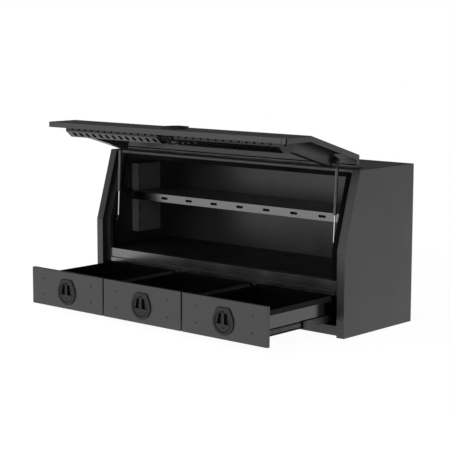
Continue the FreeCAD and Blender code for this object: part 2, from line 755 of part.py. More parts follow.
def strut_cylinder():
    """Dark tube with a socket at the lid's stud, bored for the rod."""
    half = STRUT_TUBE_RADIUS
    top = strut_length(LID_OPEN_ANGLE)
    low = top - strut_tube_length()
    tube_top = top - STRUT_EYE_RADIUS - STRUT_SOCKET_NECK
    stroke = top - strut_length(0)
    bore_top = low + STRUT_OVERLAP + stroke + STRUT_NECK
    tube = bar("z", STRUT_TUBE_RADIUS, low, tube_top, 0, 0)
    neck = bar("z", STRUT_NECK_RADIUS, tube_top, top, 0, 0)
    socket = bar("x", STRUT_EYE_RADIUS, -half, half, 0, top)
    bore = bar("z", STRUT_ROD_RADIUS + TOUCH_GAP, low - CUT_PAST, bore_top, 0, 0)
    return in_strut_line(fused(tube, neck, socket).cut(bore))


def strut_lower_stud():
    """Right-hand bracket on the back of the land, with the stud for the rod's eye."""
    y, z = strut_foot()
    half = STRUT_EYE_WIDTH / 2
    plate_x = OPENING + SEAL_GRIP + TOUCH_GAP
    edge = STRUT_EYE_RADIUS + BRACKET_SHEET
    foot_high = KNEE_HEIGHT - STRUT_EYE_RADIUS
    foot_low = foot_high - 4 * STRUT_EYE_RADIUS
    plate = block(plate_x, plate_x + BRACKET_SHEET, LAND_BACK, y + edge, foot_low, z + edge)
    plate = plate.cut(along_x(band(0, REBATE_DEPTH + SHEET, 0, HEIGHT), OPENING, SIDE))
    foot_end = JAMB_EDGE - BRACKET_SHEET
    foot = block(plate_x, foot_end, LAND_BACK, LAND_BACK + BRACKET_SHEET, foot_low, foot_high)
    boss = bar("x", STUD_COLLAR_RADIUS, STRUT_X + half + TOUCH_GAP, plate_x, y, z)
    stud = bar("x", STUD_RADIUS, STRUT_X - half - BRACKET_SHEET, plate_x, y, z)
    head_end = STRUT_X - half - TOUCH_GAP
    head = bar("x", STUD_COLLAR_RADIUS, head_end - BRACKET_SHEET, head_end, y, z)
    return fused(plate, foot, boss, stud, head)


def strut_upper_stud():
    """Right-hand plate on the lid's stiffener, drawn shut, with a stud that faces the socket."""
    y, z = strut_head(0)
    edge = 2 * STRUT_EYE_RADIUS
    tip = STRUT_X - STRUT_TUBE_RADIUS - TOUCH_GAP
    plate_x = LID_FRAME + BRACKET_SHEET
    plate = block(LID_FRAME, plate_x, y - edge, y + edge, z - 2 * edge, z + edge)
    plate.rotate(Vector(0, y, z), Vector(1, 0, 0), -math.degrees(LEAN))
    stud = bar("x", STUD_RADIUS, plate_x, tip, y, z)
    collar = bar("x", STUD_COLLAR_RADIUS, plate_x, plate_x + BRACKET_SHEET, y, z)
    return fused(plate, stud, collar)


# Locks, drawn facing the front with the dish's middle at the origin


def lock_hole_radius():
    """Hole in a panel for the cup of a lock."""
    return DISH_RADIUS + CUP_WALL + LOCK_HOLE_GAP


def lock_outline():
    """Shield outline of the lock's flange: a round foot and two round shoulders."""
    away = math.hypot(LOCK_SHOULDER_SPREAD, LOCK_SHOULDER_RISE)
    rise = math.atan2(LOCK_SHOULDER_RISE, LOCK_SHOULDER_SPREAD)
    angle = rise - math.acos((LOCK_RADIUS - LOCK_SHOULDER_RADIUS) / away)

    def foot(turn):
        return Vector(LOCK_RADIUS * math.cos(turn), 0, LOCK_RADIUS * math.sin(turn))

    def shoulder(side, turn):
        x = LOCK_SHOULDER_SPREAD + LOCK_SHOULDER_RADIUS * math.cos(turn)
        return Vector(side * x, 0, LOCK_SHOULDER_RISE + LOCK_SHOULDER_RADIUS * math.sin(turn))

    upright = math.pi / 2
    between = (angle + upright) / 2
    edges = [
        Part.Arc(foot(angle), foot(-upright), foot(math.pi - angle)).toShape(),
        Part.LineSegment(foot(math.pi - angle), shoulder(-1, angle)).toShape(),
        Part.Arc(shoulder(-1, angle), shoulder(-1, between), shoulder(-1, upright)).toShape(),
        Part.LineSegment(shoulder(-1, upright), shoulder(1, upright)).toShape(),
        Part.Arc(shoulder(1, upright), shoulder(1, between), shoulder(1, angle)).toShape(),
        Part.LineSegment(shoulder(1, angle), foot(angle)).toShape(),
    ]
    return Part.Face(Part.Wire(edges))


def lock_base():
    """Flange with a rounded edge and the cup that the handle turns in."""
    flange = lock_outline().extrude(Vector(0, LOCK_PROUD, 0))
    rim = [edge for edge in flange.Edges if abs(edge.BoundBox.YMax) < TOUCH_GAP]
    flange = flange.makeFillet(LOCK_EDGE_ROUND, rim)
    cup = bar("y", DISH_RADIUS + CUP_WALL, LOCK_PROUD / 2, DISH_DEPTH + CUP_FLOOR, 0, 0)
    dish = bar("y", DISH_RADIUS, -CUT_PAST, DISH_DEPTH, 0, 0)
    bore = bar("y", SHAFT_RADIUS + PIN_CLEARANCE, 0, DISH_DEPTH + 2 * CUP_FLOOR, 0, 0)
    return fused(flange, cup).cut([dish, bore])


def lock_insert():
    """Turning insert: floor disc, cheeks beside the finger wells, handle pin and shaft."""
    radius = DISH_RADIUS - LOCK_TURN_GAP
    floor_back = DISH_DEPTH - TOUCH_GAP
    floor_front = floor_back - LOCK_FLOOR_SHEET
    disc = bar("y", radius, floor_front, floor_back, 0, 0)
    cheeks = bar("y", radius, CHEEK_SETBACK, floor_front, 0, 0)
    below = block(-2 * radius, 2 * radius, 0, floor_front, -2 * radius, WELL_BOTTOM)
    wells = along_y(
        [(-WELL_BOTTOM_HALF, WELL_BOTTOM), (WELL_BOTTOM_HALF, WELL_BOTTOM),
         (WELL_TOP_HALF, WELL_TOP), (-WELL_TOP_HALF, WELL_TOP)],
        0, floor_front)
    slot_half = STEM_HALF + STEM_GAP
    stem_slot = block(-slot_half, slot_half, 0, floor_front, WELL_BOTTOM, 2 * radius)
    cheeks = cheeks.cut([below, wells, stem_slot])
    pin = bar(
        "x", HANDLE_PIN_RADIUS, -HANDLE_PIN_HALF, HANDLE_PIN_HALF, HANDLE_PIVOT_DEPTH, HANDLE_PIVOT_RISE
    )
    shaft = bar("y", SHAFT_RADIUS, floor_back, CAM_DEPTH, 0, 0)
    return fused(disc, cheeks, pin, shaft)


def lock_handle():
    """Folding handle: a stem on the pin and a wide fluke with a keyhole."""
    back = HANDLE_FACE + HANDLE_THICKNESS
    fluke = bar("y", DISH_RADIUS - LOCK_TURN_GAP - FLUKE_GAP, HANDLE_FACE, back, 0, 0)
    fluke_top = WELL_BOTTOM - LOCK_TURN_GAP
    above = block(-2 * DISH_RADIUS, 2 * DISH_RADIUS, 0, 2 * back, fluke_top, 2 * DISH_RADIUS)
    fluke = fluke.cut(above)
    stem = block(-STEM_HALF, STEM_HALF, HANDLE_FACE, back, fluke_top, HANDLE_PIVOT_RISE)
    knuckle = bar("x", HANDLE_KNUCKLE, -STEM_HALF, STEM_HALF, HANDLE_PIVOT_DEPTH, HANDLE_PIVOT_RISE)
    handle = fused(fluke, stem, knuckle)
    rim = [edge for edge in fluke.Edges if edge.BoundBox.YMax < HANDLE_FACE + TOUCH_GAP
           and edge.BoundBox.ZMin < fluke_top - LOCK_TURN_GAP]
    rim_length = max(edge.Length for edge in rim)
    face_arc = [edge for edge in handle.Edges if abs(edge.Length - rim_length) < TOUCH_GAP
                and edge.BoundBox.YMax < HANDLE_FACE + TOUCH_GAP]
    handle = handle.makeFillet(HANDLE_ROUND, face_arc)
    bore_radius = HANDLE_PIN_RADIUS + PIN_CLEARANCE
    bore = bar("x", bore_radius, -2 * STEM_HALF, 2 * STEM_HALF, HANDLE_PIVOT_DEPTH, HANDLE_PIVOT_RISE)
    keyhole = bar("y", KEYHOLE_RADIUS, 0, HANDLE_FACE + KEYHOLE_DEPTH, 0, -KEYHOLE_DROP)
    return handle.cut([bore, keyhole])


def drawer_lock_spindle():
    """Insert of a drawer lock with its cam, which points sideways when released."""
    reach = SILL_BOTTOM + DRAWER_CAM_OVERLAP - DRAWER_LOCK_HEIGHT
    back = CAM_DEPTH + CAM_THICKNESS
    hub = bar("y", CAM_HALF_WIDTH, CAM_DEPTH, back, 0, 0)
    arm = block(0, reach, CAM_DEPTH, back, -CAM_HALF_WIDTH, CAM_HALF_WIDTH)
    return fused(lock_insert(), hub, arm)


def crank_offset():
    """How far each crank pin stands from the spindle's axis, along and across the box."""
    return CRANK_RADIUS * math.sin(math.radians(CRANK_START_ANGLE))


def lid_lock_spindle():
    """Insert of the lid's lock with a crank plate and a pin for each latch rod."""
    back = CAM_DEPTH + CAM_THICKNESS
    plate = bar("y", CRANK_RADIUS + 2 * CRANK_PIN_RADIUS, CAM_DEPTH, back, 0, 0)
    start = crank_offset()
    pins = []
    for side in (1, -1):
        pins.append(bar("y", CRANK_PIN_RADIUS, back, back + YOKE_SHEET, -side * start, -side * start))
    return fused(lock_insert(), plate, *pins)


def latch_rod(side):
    """Latch rod at one end of the lid, with the yoke that the crank pin drives."""
    start = crank_offset()
    near = CAM_DEPTH + CAM_THICKNESS + TOUCH_GAP
    far = near + YOKE_SHEET
    slot_low = CRANK_RADIUS + CRANK_PIN_RADIUS + YOKE_PLAY
    slot_high = start - CRANK_PIN_RADIUS - YOKE_PLAY
    low = -slot_low - YOKE_EDGE
    high = min(-slot_high + YOKE_EDGE, -LATCH_ROD_OFFSET + LATCH_ROD_RADIUS)
    yoke_start = -start - YOKE_SLOT_HALF - YOKE_EDGE
    yoke = block(yoke_start, LATCH_ROD_JOIN, near, far, low, high)
    pin_slot = block(-start - YOKE_SLOT_HALF, -start + YOKE_SLOT_HALF, near, far, -slot_low, -slot_high)
    tip = LID_FRAME + LATCH_ROD_TIP
    rod_y = (near + far) / 2
    rod = bar("x", LATCH_ROD_RADIUS, LATCH_ROD_JOIN - 2 * YOKE_EDGE, tip, rod_y, -LATCH_ROD_OFFSET)
    shape = fused(yoke.cut(pin_slot), rod)
    if side < 0:
        shape.rotate(Vector(0, 0, 0), Vector(0, 1, 0), 180)
    return moved(shape, 0, FRONT - LOCK_PROUD, LID_LOCK_HEIGHT)


# Drawers, drawn pulled out


def drawer_span(index):
    """Left and right edge of a drawer's front."""
    left = -DRAWERS_HALF + index * DRAWER_PITCH
    return left, left + DRAWER_PITCH - DRAWER_SEAM


def divider_x(index):
    """Middle of the wall to the right of a drawer."""
    return -DRAWERS_HALF - DRAWER_SEAM / 2 + (index + 1) * DRAWER_PITCH


def bay_span(index):
    """Faces of the two walls that a drawer's runners sit on."""
    left = -BAY_HALF if index == 0 else divider_x(index - 1) + SHEET / 2
    right = BAY_HALF if index == DRAWERS - 1 else divider_x(index) - SHEET / 2
    return left, right


def drawer_screw_places(index):
    """Middle of each screw on a drawer's front, as (x, z)."""
    left, right = drawer_span(index)
    middle = (left + right) / 2
    places = []
    for x in (middle - SCREW_SPREAD / 2, middle + SCREW_SPREAD / 2):
        for z in (TRAY_BOTTOM + SCREW_LOW_EDGE, TRAY_TOP - SCREW_HIGH_EDGE):
            places.append((x, z))
    return places


def drawer_cutters(index):
    """Holes through a drawer's front and tray for its lock and screws."""
    left, right = drawer_span(index)
    middle = (left + right) / 2
    near = DRAWER_FACE - SHEET
    deep = DRAWER_FACE + PAN_DEPTH
    cutters = [bar("y", lock_hole_radius(), near, deep, middle, DRAWER_LOCK_HEIGHT)]
    for x, z in drawer_screw_places(index):
        cutters.append(bar("y", SCREW_RADIUS + SCREW_HOLE_GAP, near, deep, x, z))
    return cutters


def drawer_front(index):
    """Folded pan that faces the drawer."""
    left, right = drawer_span(index)
    back = DRAWER_FACE + PAN_DEPTH
    outer = block(left, right, DRAWER_FACE, back, DRAWER_BOTTOM, DRAWER_TOP)
    inner = block(
        left + SHEET, right - SHEET, DRAWER_FACE + SHEET, back, DRAWER_BOTTOM + SHEET, DRAWER_TOP - SHEET
    )
    return outer.cut(inner).cut(drawer_cutters(index))


def drawer_tray(index):
    """Open tray behind the front. Its side walls lean in along their tops."""
    left, right = bay_span(index)
    left += RUNNER_THICKNESS
    right -= RUNNER_THICKNESS
    front = DRAWER_FACE + SHEET
    rear = BACK - SHEET - TRAY_REAR_GAP - TRAVEL

    def section(inset):
        low = TRAY_BOTTOM + inset
        hem = TRAY_TOP - TRAY_HEM_RISE
        near = left + inset
        far = right - inset
        tops = [(far - TRAY_HEM_RUN, TRAY_TOP), (near + TRAY_HEM_RUN, TRAY_TOP)]
        return [(near, low), (far, low), (far, hem)] + tops + [(near, hem)]

    outer = along_y(section(0), front, rear)
    hollow = along_y(section(TRAY_SHEET), front + TRAY_SHEET, rear - TRAY_SHEET)
    return outer.cut(hollow).cut(drawer_cutters(index))


def drawer_screws(index):
    """Screws that hold a drawer's front to its tray."""
    screws = []
    for x, z in drawer_screw_places(index):
        head = bar("y", SCREW_HEAD_RADIUS, DRAWER_FACE - SCREW_HEAD_HEIGHT, DRAWER_FACE, x, z)
        shank = bar("y", SCREW_RADIUS, DRAWER_FACE, DRAWER_FACE + SHEET + 2 * TRAY_SHEET, x, z)
        screws.append(fused(head, shank))
    return screws


def runner_member(inset, near, far, start):
    """Channel of a runner on a wall at X = 0: web near the wall, flanges towards the drawer."""
    half = RUNNER_HEIGHT / 2 - inset
    length = RUNNER_REAR - RUNNER_FRONT
    outer = block(near, far, start, start + length, RUNNER_MIDDLE - half, RUNNER_MIDDLE + half)
    inner_half = half - RUNNER_SHEET
    low, high = RUNNER_MIDDLE - inner_half, RUNNER_MIDDLE + inner_half
    inner = block(near + RUNNER_SHEET, far, start, start + length, low, high)
    return outer.cut(inner)


def runner_set(index, member):
    """The left and right copy of one member of a drawer's runners."""
    left, right = bay_span(index)
    return [moved(member, left), moved(mirrored(member), right)]


def outer_member():
    """Member fixed to the wall."""
    return runner_member(0, 0, RUNNER_THICKNESS - RUNNER_STEP, RUNNER_FRONT)


def middle_member():
    """Member between the two, half way out."""
    far = RUNNER_THICKNESS - RUNNER_STEP
    return runner_member(RUNNER_STEP, RUNNER_STEP, far, RUNNER_FRONT - TRAVEL / 2)


def inner_member():
    """Member on the drawer: its web lies on the tray and its flanges face the wall."""
    start = DRAWER_FACE + RUNNER_NOSE
    member = runner_member(2 * RUNNER_STEP, -RUNNER_THICKNESS, -2 * RUNNER_STEP, start)
    return mirrored(member)


def save_lock(prefix, spindle, place):
    """Write the three nodes of a lock, each set in place by a function."""
    save(prefix + "_lock_base", place(lock_base()))
    save(prefix + "_lock_spindle", place(spindle))
    save(prefix + "_lock_handle", place(lock_handle()))


def main():
    os.makedirs("parts", exist_ok=True)

    right_side = side_panel()
    save("side_panel_right", right_side)
    save("side_panel_left", mirrored(right_side))
    save("roof_and_back_panel", roof_and_back())
    save("header_rail", header_rail())
    save("opening_seal", opening_seal())
    save("base_panel", base_panel())
    save("bottom_rail", bottom_rail())
    save("sill_rail", sill_rail())
    save("compartment_floor", compartment_floor())
    save("bay_walls", bay_wall(), mirrored(bay_wall()))
    save("drawer_dividers", *[drawer_divider(divider_x(i)) for i in range(DRAWERS - 1)])

    column = shelf_column()
    save("shelf_column_right", column)
    save("shelf_column_left", mirrored(column))
    save("shelf", shelf())
    save("shelf_brackets", shelf_bracket(), mirrored(shelf_bracket()))

    save("hinge_leaf_fixed", hinge_leaf(1, 0))
    save("hinge_pin", hinge_pin())
    save("hinge_leaf_moving", lifted(hinge_leaf(-1, 1)))

    save("lid_skin", lifted(lid_skin()))
    channel = lid_channel()
    save("lid_channel_right", lifted(guided(channel, 1)))
    save("lid_channel_left", lifted(guided(mirrored(channel), -1)))
    save("lid_latch_strap", lifted(latch_strap()))
    stiffener = lid_stiffener()
    save("lid_stiffener_right", lifted(stiffener))
    save("lid_stiffener_left", lifted(mirrored(stiffener)))
    save("latch_rod_right", lifted(latch_rod(1)))
    save("latch_rod_left", lifted(latch_rod(-1)))

    upper_stud = lifted(strut_upper_stud())
    save("strut_upper_studs", upper_stud, mirrored(upper_stud))
    lower_stud = strut_lower_stud()
    save("strut_lower_studs", lower_stud, mirrored(lower_stud))
    save("strut_right_rod", strut_rod())
    save("strut_left_rod", mirrored(strut_rod()))
    save("strut_right_cylinder", strut_cylinder())
    save("strut_left_cylinder", mirrored(strut_cylinder()))

    def on_lid(shape):
        return lifted(moved(shape, 0, FRONT - LOCK_PROUD, LID_LOCK_HEIGHT))

    save_lock("lid", lid_lock_spindle(), on_lid)

    outer_members = []
    for index in range(DRAWERS):
        name = "drawer_%d" % (index + 1)
        left, right = drawer_span(index)
        middle = (left + right) / 2
        save(name + "_front", drawer_front(index))
        save(name + "_tray", drawer_tray(index))
        save(name + "_screws", *drawer_screws(index))
        save(name + "_runner_inner", *runner_set(index, inner_member()))
        save(name + "_runner_middle", *runner_set(index, middle_member()))
        outer_members += runner_set(index, outer_member())

        def on_drawer(shape, x=middle):
            return moved(shape, x, DRAWER_FACE - LOCK_PROUD, DRAWER_LOCK_HEIGHT)

        save_lock(name, drawer_lock_spindle(), on_drawer)
    save("runner_outer_members", *outer_members)


main()
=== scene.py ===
# %% [markdown]
# Toolbox for a pick-up tray, dressed for its picture.
# The solids come in ready, in metres and in place. This lesson gives them what the
# solids leave out: rounded folds, powder coat, rubber, zinc and chrome, and the small
# fasteners that repeat. Every piece is tied to the body that it moves with.

# %% Load the solids
import json
import math

import bmesh
import bpy
from mathutils import Matrix, Vector

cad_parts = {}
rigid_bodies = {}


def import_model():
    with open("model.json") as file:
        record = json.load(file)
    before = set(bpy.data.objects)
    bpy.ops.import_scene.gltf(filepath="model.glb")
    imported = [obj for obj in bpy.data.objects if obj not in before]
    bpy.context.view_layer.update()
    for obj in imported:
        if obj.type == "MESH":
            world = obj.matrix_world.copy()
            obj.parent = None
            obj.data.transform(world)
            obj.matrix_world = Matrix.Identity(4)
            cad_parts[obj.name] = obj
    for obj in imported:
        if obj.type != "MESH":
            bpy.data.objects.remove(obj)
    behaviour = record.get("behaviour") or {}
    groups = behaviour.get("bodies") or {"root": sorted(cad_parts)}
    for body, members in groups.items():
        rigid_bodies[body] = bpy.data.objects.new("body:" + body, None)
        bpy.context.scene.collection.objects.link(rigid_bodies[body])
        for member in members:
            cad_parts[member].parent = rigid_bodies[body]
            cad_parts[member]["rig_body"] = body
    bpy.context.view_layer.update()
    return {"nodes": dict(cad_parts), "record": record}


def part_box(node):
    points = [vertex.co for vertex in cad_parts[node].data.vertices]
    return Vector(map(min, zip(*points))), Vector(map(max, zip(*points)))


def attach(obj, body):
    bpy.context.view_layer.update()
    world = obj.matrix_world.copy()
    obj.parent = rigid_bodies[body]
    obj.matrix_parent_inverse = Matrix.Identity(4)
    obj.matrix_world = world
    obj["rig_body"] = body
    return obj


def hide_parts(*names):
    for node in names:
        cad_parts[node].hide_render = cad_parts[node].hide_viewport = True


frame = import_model()
nodes = frame["nodes"]
scene = bpy.context.scene
slot_of_node = {part["node"]: part["material_slot"] for part in frame["record"]["subparts"]}

# %% [markdown]
# Powder coat is sprayed on dry and melted in an oven, so it dries with a fine orange peel
# and a faint cloudiness that is only seen in the gloss. One shader group makes both from
# noise, and each material places it with its own sizes. It gives back masks and heights
# only: the shader itself stays in the material.

# %% Shader group: coat grain


def new_group(name, inputs, outputs):
    """Empty shader group with named inputs and outputs."""
    group = bpy.data.node_groups.new(name, "ShaderNodeTree")
    for label, kind, value in inputs:
        socket = group.interface.new_socket(label, in_out="INPUT", socket_type=kind)
        if value is not None:
            socket.default_value = value
    for label, kind in outputs:
        group.interface.new_socket(label, in_out="OUTPUT", socket_type=kind)
    start = group.nodes.new("NodeGroupInput")
    end = group.nodes.new("NodeGroupOutput")
    return group, start, end


def noise(tree, place, scale, detail):
    """Noise texture read at a place."""
    node = tree.nodes.new("ShaderNodeTexNoise")
    node.inputs["Detail"].default_value = detail
    tree.links.new(place, node.inputs["Vector"])
    tree.links.new(scale, node.inputs["Scale"])
    return node.outputs["Fac"]


def make_coat_grain():
    """Orange peel, cloudiness and specks of a sprayed or moulded skin."""
    group, start, end = new_group(
        "coat_grain",
        [
            ("Place", "NodeSocketVector", None),
            ("Peel Scale", "NodeSocketFloat", 700.0),
            ("Cloud Scale", "NodeSocketFloat", 5.0),
            ("Speck Scale", "NodeSocketFloat", 160.0),
        ],
        [("Cloud", "NodeSocketFloat"), ("Speck", "NodeSocketFloat"), ("Height", "NodeSocketFloat")],
    )
    place = start.outputs["Place"]
    peel = noise(group, place, start.outputs["Peel Scale"], detail=2.0)
    cloud = noise(group, place, start.outputs["Cloud Scale"], detail=3.0)
    speck = noise(group, place, start.outputs["Speck Scale"], detail=4.0)
    group.links.new(cloud, end.inputs["Cloud"])
    group.links.new(speck, end.inputs["Speck"])
    group.links.new(peel, end.inputs["Height"])
    return group


coat_grain = make_coat_grain()
print("group:", coat_grain.name)

# %% [markdown]
# Rolled, drawn and ground metal keeps fine lines along the way it was worked. Noise that
# is stretched in one direction shows them. The stretch is an input, so one group serves
# the runners, the hinge and the strut rods.

# %% Shader group: drawn lines


def make_drawn_lines():
    """Fine lines along one axis, and a slow change along the bar."""
    group, start, end = new_group(
        "drawn_lines",
        [
            ("Place", "NodeSocketVector", None),
            ("Stretch", "NodeSocketVector", (4.0, 400.0, 400.0)),
            ("Line Scale", "NodeSocketFloat", 1.0),
            ("Cloud Scale", "NodeSocketFloat", 12.0),
        ],
        [("Line", "NodeSocketFloat"), ("Cloud", "NodeSocketFloat")],
    )
    stretched = group.nodes.new("ShaderNodeVectorMath")
    stretched.operation = "MULTIPLY"
    group.links.new(start.outputs["Place"], stretched.inputs[0])
    group.links.new(start.outputs["Stretch"], stretched.inputs[1])
    line = noise(group, stretched.outputs["Vector"], start.outputs["Line Scale"], detail=3.0)
    cloud = noise(group, start.outputs["Place"], start.outputs["Cloud Scale"], detail=2.0)
    group.links.new(line, end.inputs["Line"])
    group.links.new(cloud, end.inputs["Cloud"])
    return group


drawn_lines = make_drawn_lines()
print("group:", drawn_lines.name)

# %% [markdown]
# A finish is a shader with its colour, gloss and surface height led in from a group.
# Both makers below take the lightest and darkest grey of the finish and its smoothest and
# roughest gloss. Noise seldom leaves the middle of its range, so that middle is spread over
# the whole of it. Values that stay the same all over sit on the shader's own sockets.

# %% Material makers
NOISE_LOW = 0.3
NOISE_HIGH = 0.7
PEEL_DEPTH = 0.0004
LINE_DEPTH = 0.0002


def new_finish(name, specular, metallic):
    """Material with a shader, and the object's own coordinates to lay patterns on."""
    material = bpy.data.materials.new(name)
    material.use_nodes = True
    tree = material.node_tree
    shader = tree.nodes["Principled BSDF"]
    shader.inputs["Specular IOR Level"].default_value = specular
    shader.inputs["Metallic"].default_value = metallic
    place = tree.nodes.new("ShaderNodeTexCoord").outputs["Object"]
    return material, tree, shader, place


def between(tree, mask, low, high):
    """Number between low and high, chosen by a noise mask."""
    node = tree.nodes.new("ShaderNodeMapRange")
    node.inputs["From Min"].default_value = NOISE_LOW
    node.inputs["From Max"].default_value = NOISE_HIGH
    node.inputs["To Min"].default_value = low
    node.inputs["To Max"].default_value = high
    tree.links.new(mask, node.inputs["Value"])
    return node.outputs["Result"]


def grey_between(tree, mask, dark, light):
    """Grey between two values, chosen by a noise mask."""
    ramp = tree.nodes.new("ShaderNodeValToRGB")
    first, last = ramp.color_ramp.elements
    first.position = NOISE_LOW
    first.color = (dark, dark, dark, 1.0)
    last.position = NOISE_HIGH
    last.color = (light, light, light, 1.0)
    tree.links.new(mask, ramp.inputs["Fac"])
    return ramp.outputs["Color"]


def raised(tree, shader, height, strength, distance):
    """Surface height led into the shader's normal."""
    bump = tree.nodes.new("ShaderNodeBump")
    bump.inputs["Strength"].default_value = strength
    bump.inputs["Distance"].default_value = distance
    tree.links.new(height, bump.inputs["Height"])
    tree.links.new(bump.outputs["Normal"], shader.inputs["Normal"])


def coat(name, greys, roughness, specular, metallic=0.0, peel=700.0, bump=0.05):
    """Sprayed or moulded skin."""
    material, tree, shader, place = new_finish(name, specular, metallic)
    grain = tree.nodes.new("ShaderNodeGroup")
    grain.node_tree = coat_grain
    grain.inputs["Peel Scale"].default_value = peel
    tree.links.new(place, grain.inputs["Place"])
    tree.links.new(grey_between(tree, grain.outputs["Speck"], *greys), shader.inputs["Base Color"])
    tree.links.new(between(tree, grain.outputs["Cloud"], *roughness), shader.inputs["Roughness"])
    raised(tree, shader, grain.outputs["Height"], bump, PEEL_DEPTH)
    return material


def drawn_metal(name, greys, roughness, stretch, bump=0.05):
    """Rolled, drawn or ground metal."""
    material, tree, shader, place = new_finish(name, specular=0.5, metallic=1.0)
    lines = tree.nodes.new("ShaderNodeGroup")
    lines.node_tree = drawn_lines
    lines.inputs["Stretch"].default_value = stretch
    tree.links.new(place, lines.inputs["Place"])
    tree.links.new(grey_between(tree, lines.outputs["Cloud"], *greys), shader.inputs["Base Color"])
    tree.links.new(between(tree, lines.outputs["Line"], *roughness), shader.inputs["Roughness"])
    raised(tree, shader, lines.outputs["Line"], bump, LINE_DEPTH)
    return material


print("makers: coat, drawn_metal")

# %% [markdown]
# The box is coated satin black all over. Outside, the coat is lit by the open room. Inside
# it is the same black painted darker, as painted shade, so it shows mostly reflections.
# The shelf's lip and the sill are smoother and mirror the room, which is why they look
# bright in some places and dark in others. The trays are gloss black, painted darker than
# the coat as painted shade inside them. The shelf's columns and the header are painted a
# dull grey and the columns' fronts a pale grey, lighter than the coat as painted light.
# What lies behind slots and holes is painted matt black as painted shade, and the
# compartment's floor is painted a darker black as painted shade too.

# %% Finishes
ALONG_X = (4.0, 500.0, 500.0)
ALONG_Y = (500.0, 4.0, 500.0)
ALONG_Z = (500.0, 500.0, 4.0)
finishes = {
    "outer_coat": coat("satin_black_coat", (0.032, 0.043), (0.33, 0.39), 0.67),
    # Inside coat: the outside coat painted darker, as painted shade.
    "inner_coat": coat("inside_painted_shade_coat", (0.016, 0.024), (0.26, 0.36), 0.65),
    "shelf_coat": coat("smooth_grey_coat", (0.17, 0.21), (0.20, 0.28), 0.5, metallic=1.0, bump=0.02),
    "seal_rubber": coat("soft_seal_rubber", (0.002, 0.004), (0.65, 0.85), 0.08, peel=1500.0, bump=0.15),
    "runner_steel": drawn_metal("dull_zinc", (0.05, 0.08), (0.28, 0.45), ALONG_Y),
    "hinge_steel": drawn_metal("satin_hinge_steel", (0.08, 0.12), (0.35, 0.50), ALONG_X),
    "screw_steel": coat("blackened_screw_steel", (0.022, 0.030), (0.40, 0.55), 0.50, peel=1500.0),
    "black_plastic": coat("moulded_black", (0.010, 0.016), (0.38, 0.52), 0.36, peel=1200.0, bump=0.12),
    "lock_metal": coat("lock_black", (0.004, 0.008), (0.40, 0.55), 0.35, peel=1200.0, bump=0.08),
    "strut_chrome": drawn_metal("bright_strut_chrome", (0.40, 0.50), (0.08, 0.16), ALONG_Z, bump=0.02),
    "strut_black": coat("strut_black_paint", (0.02, 0.03), (0.18, 0.28), 0.7, bump=0.03),
    # Trays: gloss black, painted darker than the coat as painted shade inside them.
    "painted_shade_gloss_black": coat("painted_shade_gloss_black_coat", (0.003, 0.005), (0.14, 0.20), 0.95, bump=0.02),
    "channel_coat": coat("channel_black_coat", (0.009, 0.012), (0.20, 0.27), 0.40, bump=0.02),
    # Painted shade: matt black laid where only shade is seen, behind slots and holes.
    "painted_shade_black": coat("painted_shade_black_coat", (0.003, 0.005), (0.50, 0.60), 0.12),
    # Compartment floor: a darker black than the coat, painted shade.
    "floor_painted_shade": coat("floor_painted_shade_black", (0.014, 0.020), (0.45, 0.55), 0.25),
    "shelf_satin": coat("shelf_satin_grey", (0.08, 0.10), (0.30, 0.40), 0.60),
    # Painted light: lighter greys for parts that catch the light, paler on lit fronts.
    "painted_light_grey": coat("painted_light_grey_coat", (0.15, 0.19), (0.42, 0.52), 0.3),
    "painted_highlight_grey": coat("painted_highlight_grey_coat", (0.42, 0.50), (0.42, 0.52), 0.3),
}
for finish_name, material in finishes.items():
    print("finish:", finish_name, "->", material.name)

# %% [markdown]
# Sheet metal has no knife edges. Where it is folded, the outside turns with a radius a bit
# larger than the sheet is thick, and cut edges are lightly broken. These roundings catch
# thin lines of light. Each visible solid is copied, its triangles are joined into flat
# faces again, and a bevel rounds the edges: wide where two broad faces meet, narrow along
# a cut edge. Weighted normals then keep the broad faces flat to the eye.

# %% Helper: rounded copy of a solid
FOLD_RADIUS = 0.0035
EDGE_RADIUS = 0.0006
BROAD_FACE = 0.006
FOLD_ANGLE = math.radians(8)
EDGE_ANGLE = math.radians(32)
FLAT_ANGLE = math.radians(0.8)
SAME_POINT = 1e-5
NO_LENGTH = 1e-9
BEVEL_STEPS = 3


def face_width(face):
    """About the width of a face, from its area and the length of its outline."""
    outline = sum(edge.calc_length() for edge in face.edges)
    return 2 * face.calc_area() / max(outline, NO_LENGTH)


def joined_faces(node):
    """The solid's mesh with its triangles joined into flat faces."""
    work = bmesh.new()
    work.from_mesh(nodes[node].data)
    bmesh.ops.remove_doubles(work, verts=work.verts[:], dist=SAME_POINT)
    bmesh.ops.dissolve_limit(work, angle_limit=FLAT_ANGLE, verts=work.verts[:], edges=work.edges[:])
    return work


def weigh_edges(work, fold, broad):
    """Give each edge the share of the fold radius that it is rounded by."""
    weights = work.edges.layers.float.new("bevel_weight_edge")
    for edge in work.edges:
        if len(edge.link_faces) != 2:
            continue
        angle = edge.calc_face_angle(0.0)
        narrowest = min(face_width(face) for face in edge.link_faces)
        if narrowest > broad and angle > FOLD_ANGLE:
            edge[weights] = 1.0
        elif angle > EDGE_ANGLE:
            edge[weights] = EDGE_RADIUS / fold


